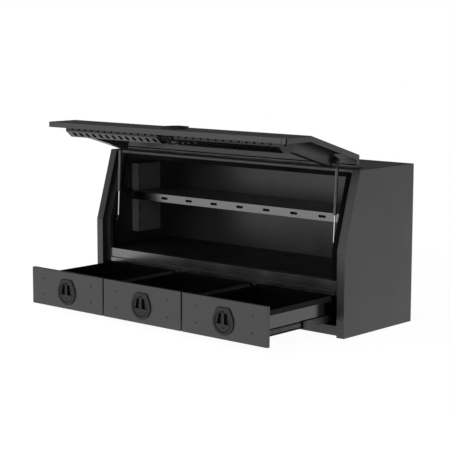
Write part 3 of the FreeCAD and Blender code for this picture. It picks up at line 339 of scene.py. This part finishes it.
def made_mesh(work, name, fold):
    """Bevel the weighted edges and return the finished mesh."""
    mesh = bpy.data.meshes.new(name)
    work.to_mesh(mesh)
    work.free()
    for leftover in ("custom_normal", "sharp_face", "sharp_edge"):
        if leftover in mesh.attributes:
            mesh.attributes.remove(mesh.attributes[leftover])
    mesh.shade_smooth()
    draft = bpy.data.objects.new(name + "_draft", mesh)
    scene.collection.objects.link(draft)
    bevel = draft.modifiers.new("rounding", "BEVEL")
    bevel.limit_method = "WEIGHT"
    bevel.width = fold
    bevel.segments = BEVEL_STEPS
    bevel.use_clamp_overlap = True
    normals = draft.modifiers.new("flat_faces", "WEIGHTED_NORMAL")
    normals.mode = "FACE_AREA_WITH_ANGLE"
    normals.keep_sharp = True
    bpy.context.view_layer.update()
    ready = draft.evaluated_get(bpy.context.evaluated_depsgraph_get())
    finished = bpy.data.meshes.new_from_object(ready)
    finished.name = name
    bpy.data.objects.remove(draft)
    return finished


def add_piece(name, mesh, body, slot_name, *replaced):
    """Link a finished mesh, tie it to its body and say which solids it stands for."""
    piece = bpy.data.objects.new(name, mesh)
    scene.collection.objects.link(piece)
    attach(piece, body)
    if replaced:
        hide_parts(*replaced)
    return piece


def rounded(node, fold=FOLD_RADIUS, finish=None, cuts=(), broad=BROAD_FACE):
    """Replace a solid by its rounded copy, cut across where its finish changes."""
    work = joined_faces(node)
    weigh_edges(work, fold, broad)
    for point, across in cuts:
        geometry = work.verts[:] + work.edges[:] + work.faces[:]
        bmesh.ops.bisect_plane(work, geom=geometry, plane_co=point, plane_no=across)
    mesh = made_mesh(work, node + "_rounded", fold)
    mesh.materials.clear()
    mesh.materials.append(finishes[finish or slot_of_node[node]])
    return add_piece(node + "_rounded", mesh, nodes[node]["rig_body"], slot_of_node[node], node)


print("folds rounded by", FOLD_RADIUS, "cut edges by", EDGE_RADIUS)

# %% [markdown]
# Most sheets show two finishes: the coat outside, and inside the same coat painted darker
# as painted shade. A face is told by the way it looks and where it is, so each kind of
# sheet has a short test that picks its inside faces. How far a face turns to an axis is
# that part of its normal, from 0 for not at all to 1 for straight.

# %% Helper: another finish on chosen faces
SLIGHTLY = 0.2
TILTED = 0.25
PARTLY = 0.3
MOSTLY = 0.5


def refinish(piece, finish, chosen):
    """Give the faces that a test picks another finish."""
    piece.data.materials.append(finishes[finish])
    last = len(piece.data.materials) - 1
    count = 0
    for face in piece.data.polygons:
        if chosen(face.normal, face.center):
            face.material_index = last
            count += 1
    print(piece.name, "faces in", finish, count)


print("finishes to choose from:", len(finishes))

# %% [markdown]
# The box comes first. The sides, the roof and the back turn their inner faces to the
# compartment. At the front, everything that stands behind the front plane is inside too:
# the rebate that the lid closes into and the land that the seal sits on. All these inner
# faces get the darker inside coat, as painted shade. The shelf's lip and the sill's upright
# faces are smooth grey, and the sill's other faces get the inside coat, painted shade that
# dims the light on its rounded edges. The shelf's top is a satin grey, and the rest of it,
# which shows through its slots, is painted matt black as painted shade. The columns and the
# header are painted lighter greys as painted light, and the compartment's floor a darker
# black as painted shade.

# %% Box
KNEE_HEIGHT = 0.450
FRONT = -0.300
LEAN = 0.3
REBATE = 0.010
LIP_SHEET = 0.0025
THIN_FOLD = 0.002
SEAL_FOLD = 0.004
shelf_low, shelf_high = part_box("shelf")


def inside_of_side(normal, center):
    front = FRONT + max(center.z - KNEE_HEIGHT, 0.0) * LEAN
    looks_in = normal.x * center.x < -SLIGHTLY * abs(center.x)
    set_back = normal.y < -PARTLY and center.y > front + REBATE
    return looks_in or set_back


def inside_of_roof(normal, center):
    return normal.y < -MOSTLY or normal.z < -MOSTLY


def not_upright(normal, center):
    return abs(normal.z) > TILTED


def off_the_lip(normal, center):
    return normal.y > -MOSTLY or center.y > shelf_low.y + LIP_SHEET


def facing_front(normal, center):
    return normal.y < -MOSTLY


def facing_up(normal, center):
    return normal.z > MOSTLY


# Inner faces of the sides, the roof and the back get the inside coat: painted shade.
for node in ("side_panel_left", "side_panel_right"):
    refinish(rounded(node), "inner_coat", inside_of_side)
refinish(rounded("roof_and_back_panel"), "inner_coat", inside_of_roof)
# The sill's faces that are not upright get the inside coat: painted shade on its rounded edges.
refinish(rounded("sill_rail", fold=THIN_FOLD), "inner_coat", not_upright)
shelf = rounded("shelf", fold=THIN_FOLD)
# Shelf faces off the lip: painted shade black, seen through the slots.
refinish(shelf, "painted_shade_black", off_the_lip)
refinish(shelf, "shelf_satin", facing_up)
for node in ("shelf_column_left", "shelf_column_right"):
    # Columns: painted light, dull grey with pale grey fronts where the light falls.
    refinish(rounded(node, fold=THIN_FOLD, finish="painted_light_grey"), "painted_highlight_grey", facing_front)
for node in ("bottom_rail", "base_panel"):
    rounded(node, fold=THIN_FOLD)
# Header: painted light, a dull grey lighter than the coat where light falls on it.
rounded("header_rail", fold=THIN_FOLD, finish="painted_light_grey")
for node in ("drawer_dividers", "bay_walls", "shelf_brackets"):
    rounded(node, fold=THIN_FOLD)
# Compartment floor: darker black as painted shade.
rounded("compartment_floor", finish="floor_painted_shade")
rounded("opening_seal", fold=SEAL_FOLD)
print("box dressed")

# %% [markdown]
# The lid is one skin folded in three planes, with two perforated channels and a stiffener
# at each end to keep it straight. It hangs on a continuous hinge, and the lock that holds
# it shut sits in the gap between the channels. The inside of the rim and the channels'
# inner faces get the darker inside coat, as painted shade. The skin's underside and the
# latch strap are painted matt black as painted shade, so the rows of holes in the channels
# show as dark dots.

# %% Lid and hinge
RIM_INSIDE = -0.65
SKIN_FOLD = 0.0025
SMALL_FOLD = 0.001
FINE_FOLD = 0.0008


def inside_of_lid(normal, center):
    rim = normal.y > MOSTLY and center.y < RIM_INSIDE
    end_rim = normal.x * center.x < -PARTLY * abs(center.x)
    return rim or end_rim


def underside_of_lid(normal, center):
    return normal.z < -PARTLY


def inside_of_channel(normal, center):
    return normal.y > PARTLY or normal.z > PARTLY


skin = rounded("lid_skin", fold=SKIN_FOLD)
# Inside of the rim: the darker inside coat, painted shade.
refinish(skin, "inner_coat", inside_of_lid)
# Underside of the skin: painted shade black, so the holes look dark.
refinish(skin, "painted_shade_black", underside_of_lid)
for side in ("left", "right"):
    channel = rounded("lid_channel_" + side, fold=THIN_FOLD, finish="channel_coat")
    # Channels' inner faces: the inside coat, painted shade seen through the slots and holes.
    refinish(channel, "inner_coat", inside_of_channel)
    rounded("lid_stiffener_" + side, fold=THIN_FOLD)
    rounded("latch_rod_" + side, fold=SMALL_FOLD)
# Latch strap: painted shade black in the gap between the channels.
rounded("lid_latch_strap", fold=SMALL_FOLD, finish="painted_shade_black")
for node in ("hinge_leaf_fixed", "hinge_leaf_moving", "hinge_pin"):
    rounded(node, fold=FINE_FOLD)
for node in ("strut_lower_studs", "strut_upper_studs"):
    rounded(node, fold=SMALL_FOLD, finish="black_plastic")
print("lid dressed")

# %% [markdown]
# Two thin rubber pieces finish the lid. A thin black rubber strip along the hinge flange
# is a painted shadow line, where the hinge leaf's edge casts its shade. The open corners of
# the rim are closed with black joint sealant. Both are plain slabs, thin enough to keep
# clear when the lid is shut.

# %% Shadow strip and sealant on the lid


def slab_mesh(name, low, high, finish):
    """Box mesh between two corners."""
    work = bmesh.new()
    bmesh.ops.create_cube(work, size=1.0)
    for vert in work.verts:
        vert.co = Vector([
            low[axis] + (vert.co[axis] + 0.5) * (high[axis] - low[axis])
            for axis in range(3)
        ])
    mesh = bpy.data.meshes.new(name)
    work.to_mesh(mesh)
    work.free()
    mesh.materials.append(finishes[finish])
    return mesh


def joined(name, meshes, finish):
    """One mesh from several, all in one finish."""
    work = bmesh.new()
    for mesh in meshes:
        work.from_mesh(mesh)
    for face in work.faces:
        face.material_index = 0
    whole = bpy.data.meshes.new(name)
    work.to_mesh(whole)
    work.free()
    whole.materials.append(finishes[finish])
    return whole


LID_SHEET = 0.0025
STRIP_THICKNESS = 0.001
STRIP_LOW = 0.864
STRIP_HIGH = 0.870
STRIP_END_GAP = 0.009
SEAM_WIDTH = 0.007
SEAM_PROUD = 0.0002
RIM_HEIGHT = 0.030
lid_low, lid_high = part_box("lid_skin")
flange_y = lid_high.y - LID_SHEET
# Black rubber strip: painted shadow line along the hinge leaf's edge.
strip = slab_mesh(
    "lid_water_strip",
    (lid_low.x + STRIP_END_GAP, flange_y - STRIP_THICKNESS, STRIP_LOW),
    (lid_high.x - STRIP_END_GAP, flange_y, STRIP_HIGH), "seal_rubber")
add_piece("lid_water_strip", strip, "lid", "seal_rubber")
seams = []
for left in (lid_low.x, lid_high.x - SEAM_WIDTH):
    seams.append(slab_mesh(
        "seam", (left, lid_low.y - SEAM_PROUD, lid_high.z - RIM_HEIGHT),
        (left + SEAM_WIDTH, lid_low.y + LID_SHEET, lid_high.z - LID_SHEET), "seal_rubber"))
sealant = joined("lid_corner_sealant", seams, "seal_rubber")
add_piece("lid_corner_sealant", sealant, "lid", "seal_rubber")
print("strip and corner seams on the lid")

# %% [markdown]
# The shelf's lip is folded back below, and a flat black bar on that fold is painted shade:
# it is what one sees through the slots of the lip, so they look dark.

# %% Bar behind the shelf's lip
BAR_SETBACK = 0.016
BAR_THICKNESS = 0.002
bar_front = shelf_low.y + BAR_SETBACK
# Black bar: painted shade behind the lip's slots.
bar = slab_mesh(
    "shelf_lip_bar", (shelf_low.x, bar_front, shelf_low.z + LIP_SHEET),
    (shelf_high.x, bar_front + BAR_THICKNESS, shelf_high.z - LIP_SHEET), "painted_shade_black")
add_piece("shelf_lip_bar", bar, "box", "inner_coat")
print("bar behind the lip, metres long:", round(shelf_high.x - shelf_low.x, 3))

# %% [markdown]
# A gas strut is a bright rod that slides in a painted tube. The tube ends in a black
# moulded socket at the lid, and the rod in a black eye at the box. The solids have these
# ends in one with tube and rod, so their faces are picked by their distance up the strut
# and get the moulded finish.

# %% Gas struts
STRUT_FOOT = Vector((0.0, -0.240, 0.455))
STRUT_HEAD = Vector((0.0, -0.217, 0.897))
SOCKET_START = 0.398
ROD_EYE_END = 0.022
strut_line = (STRUT_HEAD - STRUT_FOOT).normalized()
eye_cuts = [(STRUT_FOOT + strut_line * ROD_EYE_END, strut_line)]


def on_socket(normal, center):
    return (center - STRUT_FOOT).dot(strut_line) > SOCKET_START


def on_rod_eye(normal, center):
    return (center - STRUT_FOOT).dot(strut_line) < ROD_EYE_END


for side in ("left", "right"):
    rod = rounded("strut_%s_rod" % side, fold=FINE_FOLD, cuts=eye_cuts)
    refinish(rod, "black_plastic", on_rod_eye)
    refinish(rounded("strut_%s_cylinder" % side, fold=SMALL_FOLD), "black_plastic", on_socket)

# %% [markdown]
# Each drawer is a folded front pan on an open tray, on telescopic runners. The three are
# alike, so one loop dresses them all. The trays are gloss black, painted darker as painted
# shade, with their hems in the outer coat. The inner runner members have black ball cages
# along both edges, which also paint the shade under the members' flanges, and each middle
# member has a black cap on its front end, so the runner shows as a bright strip between
# dark lines, with a dark step. The meshes are cut where the finish changes.

# %% Drawers
CAP_LENGTH = 0.014
TRACK_HALF = 0.0085
drawers = ["drawer_1", "drawer_2", "drawer_3"]
runner_low, runner_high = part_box("drawer_1_runner_inner")
runner_middle = (runner_low.z + runner_high.z) / 2
cap_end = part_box("drawer_1_runner_middle")[0].y + CAP_LENGTH
cage_and_shade_cuts = [((0, 0, runner_middle + side * TRACK_HALF), (0, 0, 1)) for side in (-1, 1)]
cap_cuts = [((0, cap_end, 0), (0, 1, 0))]


def on_cage_and_shade(normal, center):
    return abs(center.z - runner_middle) > TRACK_HALF


def on_end_cap(normal, center):
    return center.y < cap_end


def on_hem(normal, center):
    return normal.z > SLIGHTLY and abs(normal.x) > MOSTLY


for drawer in drawers:
    rounded(drawer + "_front", fold=SKIN_FOLD)
    # Tray: painted shade gloss black; its hem keeps the outer coat.
    refinish(rounded(drawer + "_tray", fold=THIN_FOLD, finish="painted_shade_gloss_black"), "outer_coat", on_hem)
    inner = rounded(drawer + "_runner_inner", fold=EDGE_RADIUS, cuts=cage_and_shade_cuts)
    # Edge bands: black ball cages, and painted shade under the flanges.
    refinish(inner, "black_plastic", on_cage_and_shade)
    middle = rounded(drawer + "_runner_middle", fold=EDGE_RADIUS, cuts=cap_cuts)
    refinish(middle, "black_plastic", on_end_cap)
rounded("runner_outer_members", fold=EDGE_RADIUS)
print("drawers dressed:", len(drawers))

# %% [markdown]
# A paddle lock has a moulded base with a cup, a spindle that turns in it, and a handle
# that folds out of the cup. The solids have all its edges, so it only needs rounding: the
# base's outer edge broadly, as mouldings have it, and the rest just enough to catch light.

# %% Locks
MOULDED_EDGE = 0.0025
NARROW_WALL = 0.0015
LOCK_EDGE = 0.0012
for holder in drawers + ["lid"]:
    rounded(holder + "_lock_base", fold=MOULDED_EDGE, broad=NARROW_WALL)
    for part in ("spindle", "handle"):
        rounded("%s_lock_%s" % (holder, part), fold=LOCK_EDGE)
print("locks dressed:", len(drawers) + 1)

# %% [markdown]
# Screws, rivets and the like repeat, so Geometry Nodes set them out. One tree takes a
# fastener's shape and puts copies of it along a line, between two ends, each turned by a
# random amount from a fixed seed. The same tree serves every row: only its inputs change.

# %% Geometry Nodes: row of fasteners


def make_row_tree():
    """Tree that sets copies of a shape along a line."""
    tree = bpy.data.node_groups.new("fastener_row", "GeometryNodeTree")
    sockets = tree.interface
    for label, kind in (
        ("Shape", "NodeSocketObject"), ("Start", "NodeSocketVector"), ("End", "NodeSocketVector"),
        ("Count", "NodeSocketInt"), ("Facing", "NodeSocketVector"), ("Size", "NodeSocketFloat"),
        ("Seed", "NodeSocketInt"), ("Finish", "NodeSocketMaterial"),
    ):
        sockets.new_socket(label, in_out="INPUT", socket_type=kind)
    sockets.new_socket("Row", in_out="OUTPUT", socket_type="NodeSocketGeometry")
    start = tree.nodes.new("NodeGroupInput")
    end = tree.nodes.new("NodeGroupOutput")
    line = tree.nodes.new("GeometryNodeMeshLine")
    line.mode = "END_POINTS"
    shape = tree.nodes.new("GeometryNodeObjectInfo")
    spread = tree.nodes.new("GeometryNodeInstanceOnPoints")
    align = tree.nodes.new("FunctionNodeAlignRotationToVector")
    align.axis = "Z"
    chance = tree.nodes.new("FunctionNodeRandomValue")
    chance.data_type = "FLOAT"
    largest, drawn = chance.inputs[3], chance.outputs[1]
    largest.default_value = math.tau
    turn = tree.nodes.new("GeometryNodeRotateInstances")
    turn.inputs["Local Space"].default_value = True
    axis = tree.nodes.new("ShaderNodeCombineXYZ")
    solid = tree.nodes.new("GeometryNodeRealizeInstances")
    dress = tree.nodes.new("GeometryNodeSetMaterial")
    link = tree.links.new
    link(start.outputs["Count"], line.inputs["Count"])
    link(start.outputs["Start"], line.inputs["Start Location"])
    link(start.outputs["End"], line.inputs["Offset"])
    link(start.outputs["Shape"], shape.inputs["Object"])
    link(line.outputs["Mesh"], spread.inputs["Points"])
    link(shape.outputs["Geometry"], spread.inputs["Instance"])
    link(start.outputs["Facing"], align.inputs["Vector"])
    link(align.outputs["Rotation"], spread.inputs["Rotation"])
    link(start.outputs["Size"], spread.inputs["Scale"])
    link(start.outputs["Seed"], chance.inputs["Seed"])
    link(spread.outputs["Instances"], turn.inputs["Instances"])
    link(drawn, axis.inputs["Z"])
    link(axis.outputs["Vector"], turn.inputs["Rotation"])
    link(turn.outputs["Instances"], solid.inputs["Geometry"])
    link(solid.outputs["Geometry"], dress.inputs["Geometry"])
    link(start.outputs["Finish"], dress.inputs["Material"])
    link(dress.outputs["Geometry"], end.inputs["Row"])
    return tree


row_tree = make_row_tree()
row_inputs = {
    item.name: item.identifier
    for item in row_tree.interface.items_tree
    if item.item_type == "SOCKET" and item.in_out == "INPUT"
}
print("tree:", row_tree.name, "inputs:", sorted(row_inputs))

# %% [markdown]
# A row is made on an empty draft object that wears the tree as a modifier. The inputs are
# set by their identifiers before the draft is first evaluated. The result is then made a
# plain mesh, and the modifier goes away with the draft.

# %% Helper: row made plain


def row_mesh(shape, start, end, count, facing, finish, size=1.0, seed=7):
    """Plain mesh of a row of fasteners."""
    draft = bpy.data.objects.new("row_draft", bpy.data.meshes.new("row_draft"))
    scene.collection.objects.link(draft)
    row = draft.modifiers.new("row", "NODES")
    row.node_group = row_tree
    values = {
        "Shape": shape, "Start": start, "End": end, "Count": count, "Facing": facing,
        "Size": size, "Seed": seed, "Finish": finish,
    }
    for label, value in values.items():
        row[row_inputs[label]] = value
    bpy.context.view_layer.update()
    ready = draft.evaluated_get(bpy.context.evaluated_depsgraph_get())
    mesh = bpy.data.meshes.new_from_object(ready)
    bpy.data.objects.remove(draft)
    return mesh


print("inputs set for each row:", len(row_inputs))

# %% [markdown]
# The shapes that the rows copy are turned on a lathe: rings of points at a radius and a
# height, with quads between them. The button screw has a six-sided socket, which is a ring
# pressed to a hexagon and sunk into the head. The rivet is a plain low dome.

# %% Fastener shapes
RING_POINTS = 24


def ring(work, radius, height, sides=0):
    """Ring of points; with sides given, on a polygon of that inner radius."""
    points = []
    for index in range(RING_POINTS):
        angle = math.tau * index / RING_POINTS
        reach = radius
        if sides:
            step = math.tau / sides
            reach = radius / math.cos((angle + step / 2) % step - step / 2)
        points.append(work.verts.new((reach * math.cos(angle), reach * math.sin(angle), height)))
    return points


def turned(name, profile):
    """Closed lathe shape from rings of radius, height and sides, from its foot to its top."""
    work = bmesh.new()
    rings = [ring(work, *entry) for entry in profile]
    for lower, upper in zip(rings, rings[1:]):
        for index in range(RING_POINTS):
            after = (index + 1) % RING_POINTS
            work.faces.new((lower[index], lower[after], upper[after], upper[index]))
    work.faces.new(rings[0][::-1])
    work.faces.new(rings[-1])
    bmesh.ops.recalc_face_normals(work, faces=work.faces[:])
    mesh = bpy.data.meshes.new(name)
    work.to_mesh(mesh)
    work.free()
    shape = bpy.data.objects.new(name, mesh)
    scene.collection.objects.link(shape)
    return shape


SCREW_PROFILE = [
    (0.0025, -0.0065), (0.0025, 0.0), (0.0055, 0.0), (0.0055, 0.0005), (0.0051, 0.0009),
    (0.0042, 0.0012), (0.0032, 0.00135), (0.0019, 0.0014, 6), (0.0018, 0.0003, 6),
]
RIVET_PROFILE = [
    (0.0035, -0.0005), (0.0035, 0.0002), (0.0031, 0.0007), (0.0022, 0.0011), (0.0010, 0.0013),
]
button_screw = turned("button_screw", SCREW_PROFILE)
rivet = turned("rivet", RIVET_PROFILE)
print("screw faces:", len(button_screw.data.polygons), "rivet faces:", len(rivet.data.polygons))

# %% [markdown]
# Four button screws hold each front to its tray, in two upright rows. They stand for the
# plain screw solids. Three more in each inner runner member hold it to the tray's wall.

# %% Screws on the drawers
FORWARD = (0.0, -1.0, 0.0)
SCREW_LOW = 0.0975
SCREW_HIGH = 0.1855
SCREW_SIDE = 0.187
SCREWS_IN_ROW = 2
SCREW_SIZE = 1.2
RUNNER_SCREWS = 3
RUNNER_SCREW_SIZE = 0.8
RUNNER_SCREW_INSET = 0.05
RUNNER_WEB = 0.0015
RUNNER_MIDDLE_HEIGHT = 0.099
for number, drawer in enumerate(drawers):
    low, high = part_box(drawer + "_front")
    middle = (low.x + high.x) / 2
    rows = []
    for x in (middle - SCREW_SIDE, middle + SCREW_SIDE):
        ends = [(x, low.y, z) for z in (SCREW_LOW, SCREW_HIGH)]
        rows.append(row_mesh(
            button_screw, *ends, SCREWS_IN_ROW, FORWARD, finishes["screw_steel"],
            size=SCREW_SIZE, seed=number))
    screws = joined(drawer + "_button_screws", rows, "screw_steel")
    add_piece(drawer + "_button_screws", screws, drawer, "screw_steel", drawer + "_screws")
    tray_low, tray_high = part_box(drawer + "_tray")
    run_low, run_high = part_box(drawer + "_runner_inner")
    front_end = run_low.y + RUNNER_SCREW_INSET
    rear_end = run_high.y - RUNNER_SCREW_INSET
    rows = []
    for x, facing in ((tray_low.x - RUNNER_WEB, (-1, 0, 0)), (tray_high.x + RUNNER_WEB, (1, 0, 0))):
        ends = [(x, y, RUNNER_MIDDLE_HEIGHT) for y in (front_end, rear_end)]
        rows.append(row_mesh(
            button_screw, *ends, RUNNER_SCREWS, facing, finishes["screw_steel"],
            size=RUNNER_SCREW_SIZE, seed=number))
    runner_screws = joined(drawer + "_runner_screws", rows, "screw_steel")
    add_piece(drawer + "_runner_screws", runner_screws, drawer, "screw_steel")
print("screws per drawer:", 2 * SCREWS_IN_ROW + 2 * RUNNER_SCREWS)

# %% [markdown]
# A continuous hinge is riveted through both leaves. The rows run along the box, one on the
# roof and one on the lid, and each rides on its own leaf's body.

# %% Rivets on the hinge
HINGE_RIVETS = 21
RIVET_INSET = 0.030
RIVET_LINE = 0.014
UP = (0.0, 0.0, 1.0)
BACKWARD = (0.0, 1.0, 0.0)
LEAF_SHEET = 0.0018
fixed_low, fixed_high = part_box("hinge_leaf_fixed")
moving_low, moving_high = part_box("hinge_leaf_moving")
roof_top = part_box("side_panel_right")[1].z + LEAF_SHEET
fixed_y = fixed_high.y - RIVET_LINE
ends = [(x, fixed_y, roof_top) for x in (fixed_low.x + RIVET_INSET, fixed_high.x - RIVET_INSET)]
fixed_row = row_mesh(rivet, *ends, HINGE_RIVETS, UP, finishes["hinge_steel"])
roof_rivets = joined("hinge_rivets_roof", [fixed_row], "hinge_steel")
add_piece("hinge_rivets_roof", roof_rivets, "box", "hinge_steel")
lid_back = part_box("lid_skin")[1].y + LEAF_SHEET
moving_z = moving_high.z - RIVET_LINE
ends = [(x, lid_back, moving_z) for x in (moving_low.x + RIVET_INSET, moving_high.x - RIVET_INSET)]
moving_row = row_mesh(rivet, *ends, HINGE_RIVETS, BACKWARD, finishes["hinge_steel"])
lid_rivets = joined("hinge_rivets_lid", [moving_row], "hinge_steel")
add_piece("hinge_rivets_lid", lid_rivets, "lid", "hinge_steel")
print("rivets on the hinge:", 2 * HINGE_RIVETS)

# %% [markdown]
# The rim's corners are held by a pair of dark rivets at each end of the lid's free edge.
# They come from the same tree, two to a row. After them the shapes are no longer needed.

# %% Rivets on the rim
CORNER_INSET = 0.033
CORNER_RIVETS = (1.016, 1.032)
CORNER_RIVET_SIZE = 1.5
rows = []
for x in (lid_low.x + CORNER_INSET, lid_high.x - CORNER_INSET):
    ends = [(x, lid_low.y, z) for z in CORNER_RIVETS]
    rows.append(row_mesh(
        rivet, *ends, len(CORNER_RIVETS), FORWARD, finishes["screw_steel"], size=CORNER_RIVET_SIZE))
add_piece("lid_rim_rivets", joined("lid_rim_rivets", rows, "screw_steel"), "lid", "screw_steel")
for shape in (button_screw, rivet):
    bpy.data.objects.remove(shape)
print("rivets on the rim:", 2 * len(CORNER_RIVETS))

# %% [markdown]
# The stage is a white floor in a white room, as for a catalogue picture. The camera and
# all that mirrors see the floor as plain white. A quarter of it is paint in real light, so
# it keeps the box's soft shadow, and a glow makes that up to plain white.

# %% Floor
SHADOW_SHARE = 0.25
FLOOR_LIGHT = 0.19
FLOOR_REACH = 40.0
FLOOR_PAINT = (0.95, 0.95, 0.95, 1.0)


def seen_directly(tree):
    """Number that is 1 for rays from the camera, mirrors and glass."""
    path = tree.nodes.new("ShaderNodeLightPath")
    first = tree.nodes.new("ShaderNodeMath")
    first.operation = "MAXIMUM"
    tree.links.new(path.outputs["Is Camera Ray"], first.inputs[0])
    tree.links.new(path.outputs["Is Glossy Ray"], first.inputs[1])
    second = tree.nodes.new("ShaderNodeMath")
    second.operation = "MAXIMUM"
    tree.links.new(first.outputs[0], second.inputs[0])
    tree.links.new(path.outputs["Is Transmission Ray"], second.inputs[1])
    return second.outputs[0]


def make_floor():
    """Flat white floor that keeps shadows."""
    mesh = bpy.data.meshes.new("floor")
    corners = [(x * FLOOR_REACH, y * FLOOR_REACH, 0) for x, y in ((-1, -1), (1, -1), (1, 1), (-1, 1))]
    mesh.from_pydata(corners, [], [(0, 1, 2, 3)])
    floor = bpy.data.objects.new("floor", mesh)
    scene.collection.objects.link(floor)
    material = bpy.data.materials.new("floor_white")
    material.use_nodes = True
    tree = material.node_tree
    tree.nodes.remove(tree.nodes["Principled BSDF"])
    paint = tree.nodes.new("ShaderNodeBsdfDiffuse")
    paint.inputs["Color"].default_value = FLOOR_PAINT
    glow = tree.nodes.new("ShaderNodeEmission")
    glow.inputs["Strength"].default_value = (1.0 - SHADOW_SHARE * FLOOR_LIGHT) / (1.0 - SHADOW_SHARE)
    share = tree.nodes.new("ShaderNodeMath")
    share.operation = "MULTIPLY"
    share.inputs[1].default_value = 1.0 - SHADOW_SHARE
    mix = tree.nodes.new("ShaderNodeMixShader")
    tree.links.new(seen_directly(tree), share.inputs[0])
    tree.links.new(share.outputs[0], mix.inputs["Fac"])
    tree.links.new(paint.outputs["BSDF"], mix.inputs[1])
    tree.links.new(glow.outputs["Emission"], mix.inputs[2])
    tree.links.new(mix.outputs["Shader"], tree.nodes["Material Output"].inputs["Surface"])
    mesh.materials.append(material)


make_floor()
print("floor reaches", FLOOR_REACH)

# %% [markdown]
# The camera sees the room as plain white too. For the object it is white in front and at
# the sides, and darker overhead and behind, so that flat tops stay darker than sides. Two
# smooth falls on the direction of a ray make that: one on its height, one on its way back.

# %% Room
ROOM_LIGHT = 0.85
OVERHEAD = 0.32
OVERHEAD_FALL = (-0.02, 0.34)
BEHIND = 0.18
BEHIND_FALL = (-0.10, 0.50)
WHITE = (1.0, 1.0, 1.0, 1.0)


def eased(tree, value, start, end, low):
    """Number that falls smoothly from 1 to low while a value goes from start to end."""
    node = tree.nodes.new("ShaderNodeMapRange")
    node.interpolation_type = "SMOOTHSTEP"
    node.inputs["From Min"].default_value = start
    node.inputs["From Max"].default_value = end
    node.inputs["To Min"].default_value = 1.0
    node.inputs["To Max"].default_value = low
    tree.links.new(value, node.inputs["Value"])
    return node.outputs["Result"]


def combined(tree, operation, first, second):
    """Result of a sum on two numbers."""
    node = tree.nodes.new("ShaderNodeMath")
    node.operation = operation
    tree.links.new(first, node.inputs[0])
    tree.links.new(second, node.inputs[1])
    return node.outputs[0]


def make_room():
    """White room with its shade for the object."""
    world = bpy.data.worlds.new("white_room")
    scene.world = world
    world.use_nodes = True
    tree = world.node_tree
    way = tree.nodes.new("ShaderNodeSeparateXYZ")
    tree.links.new(tree.nodes.new("ShaderNodeTexCoord").outputs["Object"], way.inputs[0])
    above = eased(tree, way.outputs["Z"], *OVERHEAD_FALL, OVERHEAD)
    back = eased(tree, way.outputs["Y"], *BEHIND_FALL, BEHIND)
    shade = combined(tree, "MULTIPLY", above, back)
    camera_ray = tree.nodes.new("ShaderNodeLightPath").outputs["Is Camera Ray"]
    white_or_shade = combined(tree, "MAXIMUM", shade, camera_ray)
    level = tree.nodes.new("ShaderNodeMapRange")
    level.inputs["To Min"].default_value = ROOM_LIGHT
    level.inputs["To Max"].default_value = 1.0
    tree.links.new(seen_directly(tree), level.inputs["Value"])
    strength = combined(tree, "MULTIPLY", level.outputs["Result"], white_or_shade)
    background = tree.nodes["Background"]
    background.inputs["Color"].default_value = WHITE
    tree.links.new(strength, background.inputs["Strength"])


make_room()
print("room light:", ROOM_LIGHT, "overhead:", OVERHEAD, "behind:", BEHIND)

# %% [markdown]
# One large soft lamp stands far in front, a little to the left, and adds some shape. The
# Standard view leaves the greys as they are written.

# %% Lamp
LAMP_SIZE = 3.0
LAMP_WATTS = 52.0
LAMP_PLACE = Vector((-0.9, -5.6, 1.6))
LAMP_AIM = Vector((0.0, -0.2, 0.4))
light = bpy.data.lights.new("soft_lamp", "AREA")
light.shape = "SQUARE"
light.size = LAMP_SIZE
light.energy = LAMP_WATTS
lamp = bpy.data.objects.new("soft_lamp", light)
scene.collection.objects.link(lamp)
lamp_turn = (LAMP_AIM - LAMP_PLACE).to_track_quat("-Z", "Y").to_matrix().to_4x4()
lamp.matrix_world = Matrix.Translation(LAMP_PLACE) @ lamp_turn
scene.view_settings.view_transform = "Standard"
print("lamp:", LAMP_WATTS, "watts")

# %% [markdown]
# The camera stands at the front right, a little above the box, far off with a long lens.
# Its place and lens come from fitting the box's straight edges to the picture.

# %% Camera
AZIMUTH = math.radians(41.42)
ELEVATION = math.radians(8.06)
ROLL = math.radians(0.13)
CAMERA_PLACE = Vector((5.10497, -5.9755, 1.57915))
LENS = 113.675
SENSOR_WIDTH = 36.0
FARTHEST = 200.0
side_axis = Vector((math.cos(AZIMUTH), math.sin(AZIMUTH), 0.0))
back_axis = Vector((
    math.sin(AZIMUTH) * math.cos(ELEVATION),
    -math.cos(AZIMUTH) * math.cos(ELEVATION),
    math.sin(ELEVATION),
))
up_axis = back_axis.cross(side_axis)
right = side_axis * math.cos(ROLL) + up_axis * math.sin(ROLL)
up = up_axis * math.cos(ROLL) - side_axis * math.sin(ROLL)
view = bpy.data.cameras.new("view")
view.sensor_width = SENSOR_WIDTH
view.lens = LENS
view.clip_end = FARTHEST
camera = bpy.data.objects.new("view", view)
scene.collection.objects.link(camera)
camera_turn = Matrix((right, up, back_axis)).transposed().to_4x4()
camera.matrix_world = Matrix.Translation(CAMERA_PLACE) @ camera_turn
scene.camera = camera
print("camera at", [round(value, 2) for value in camera.location])
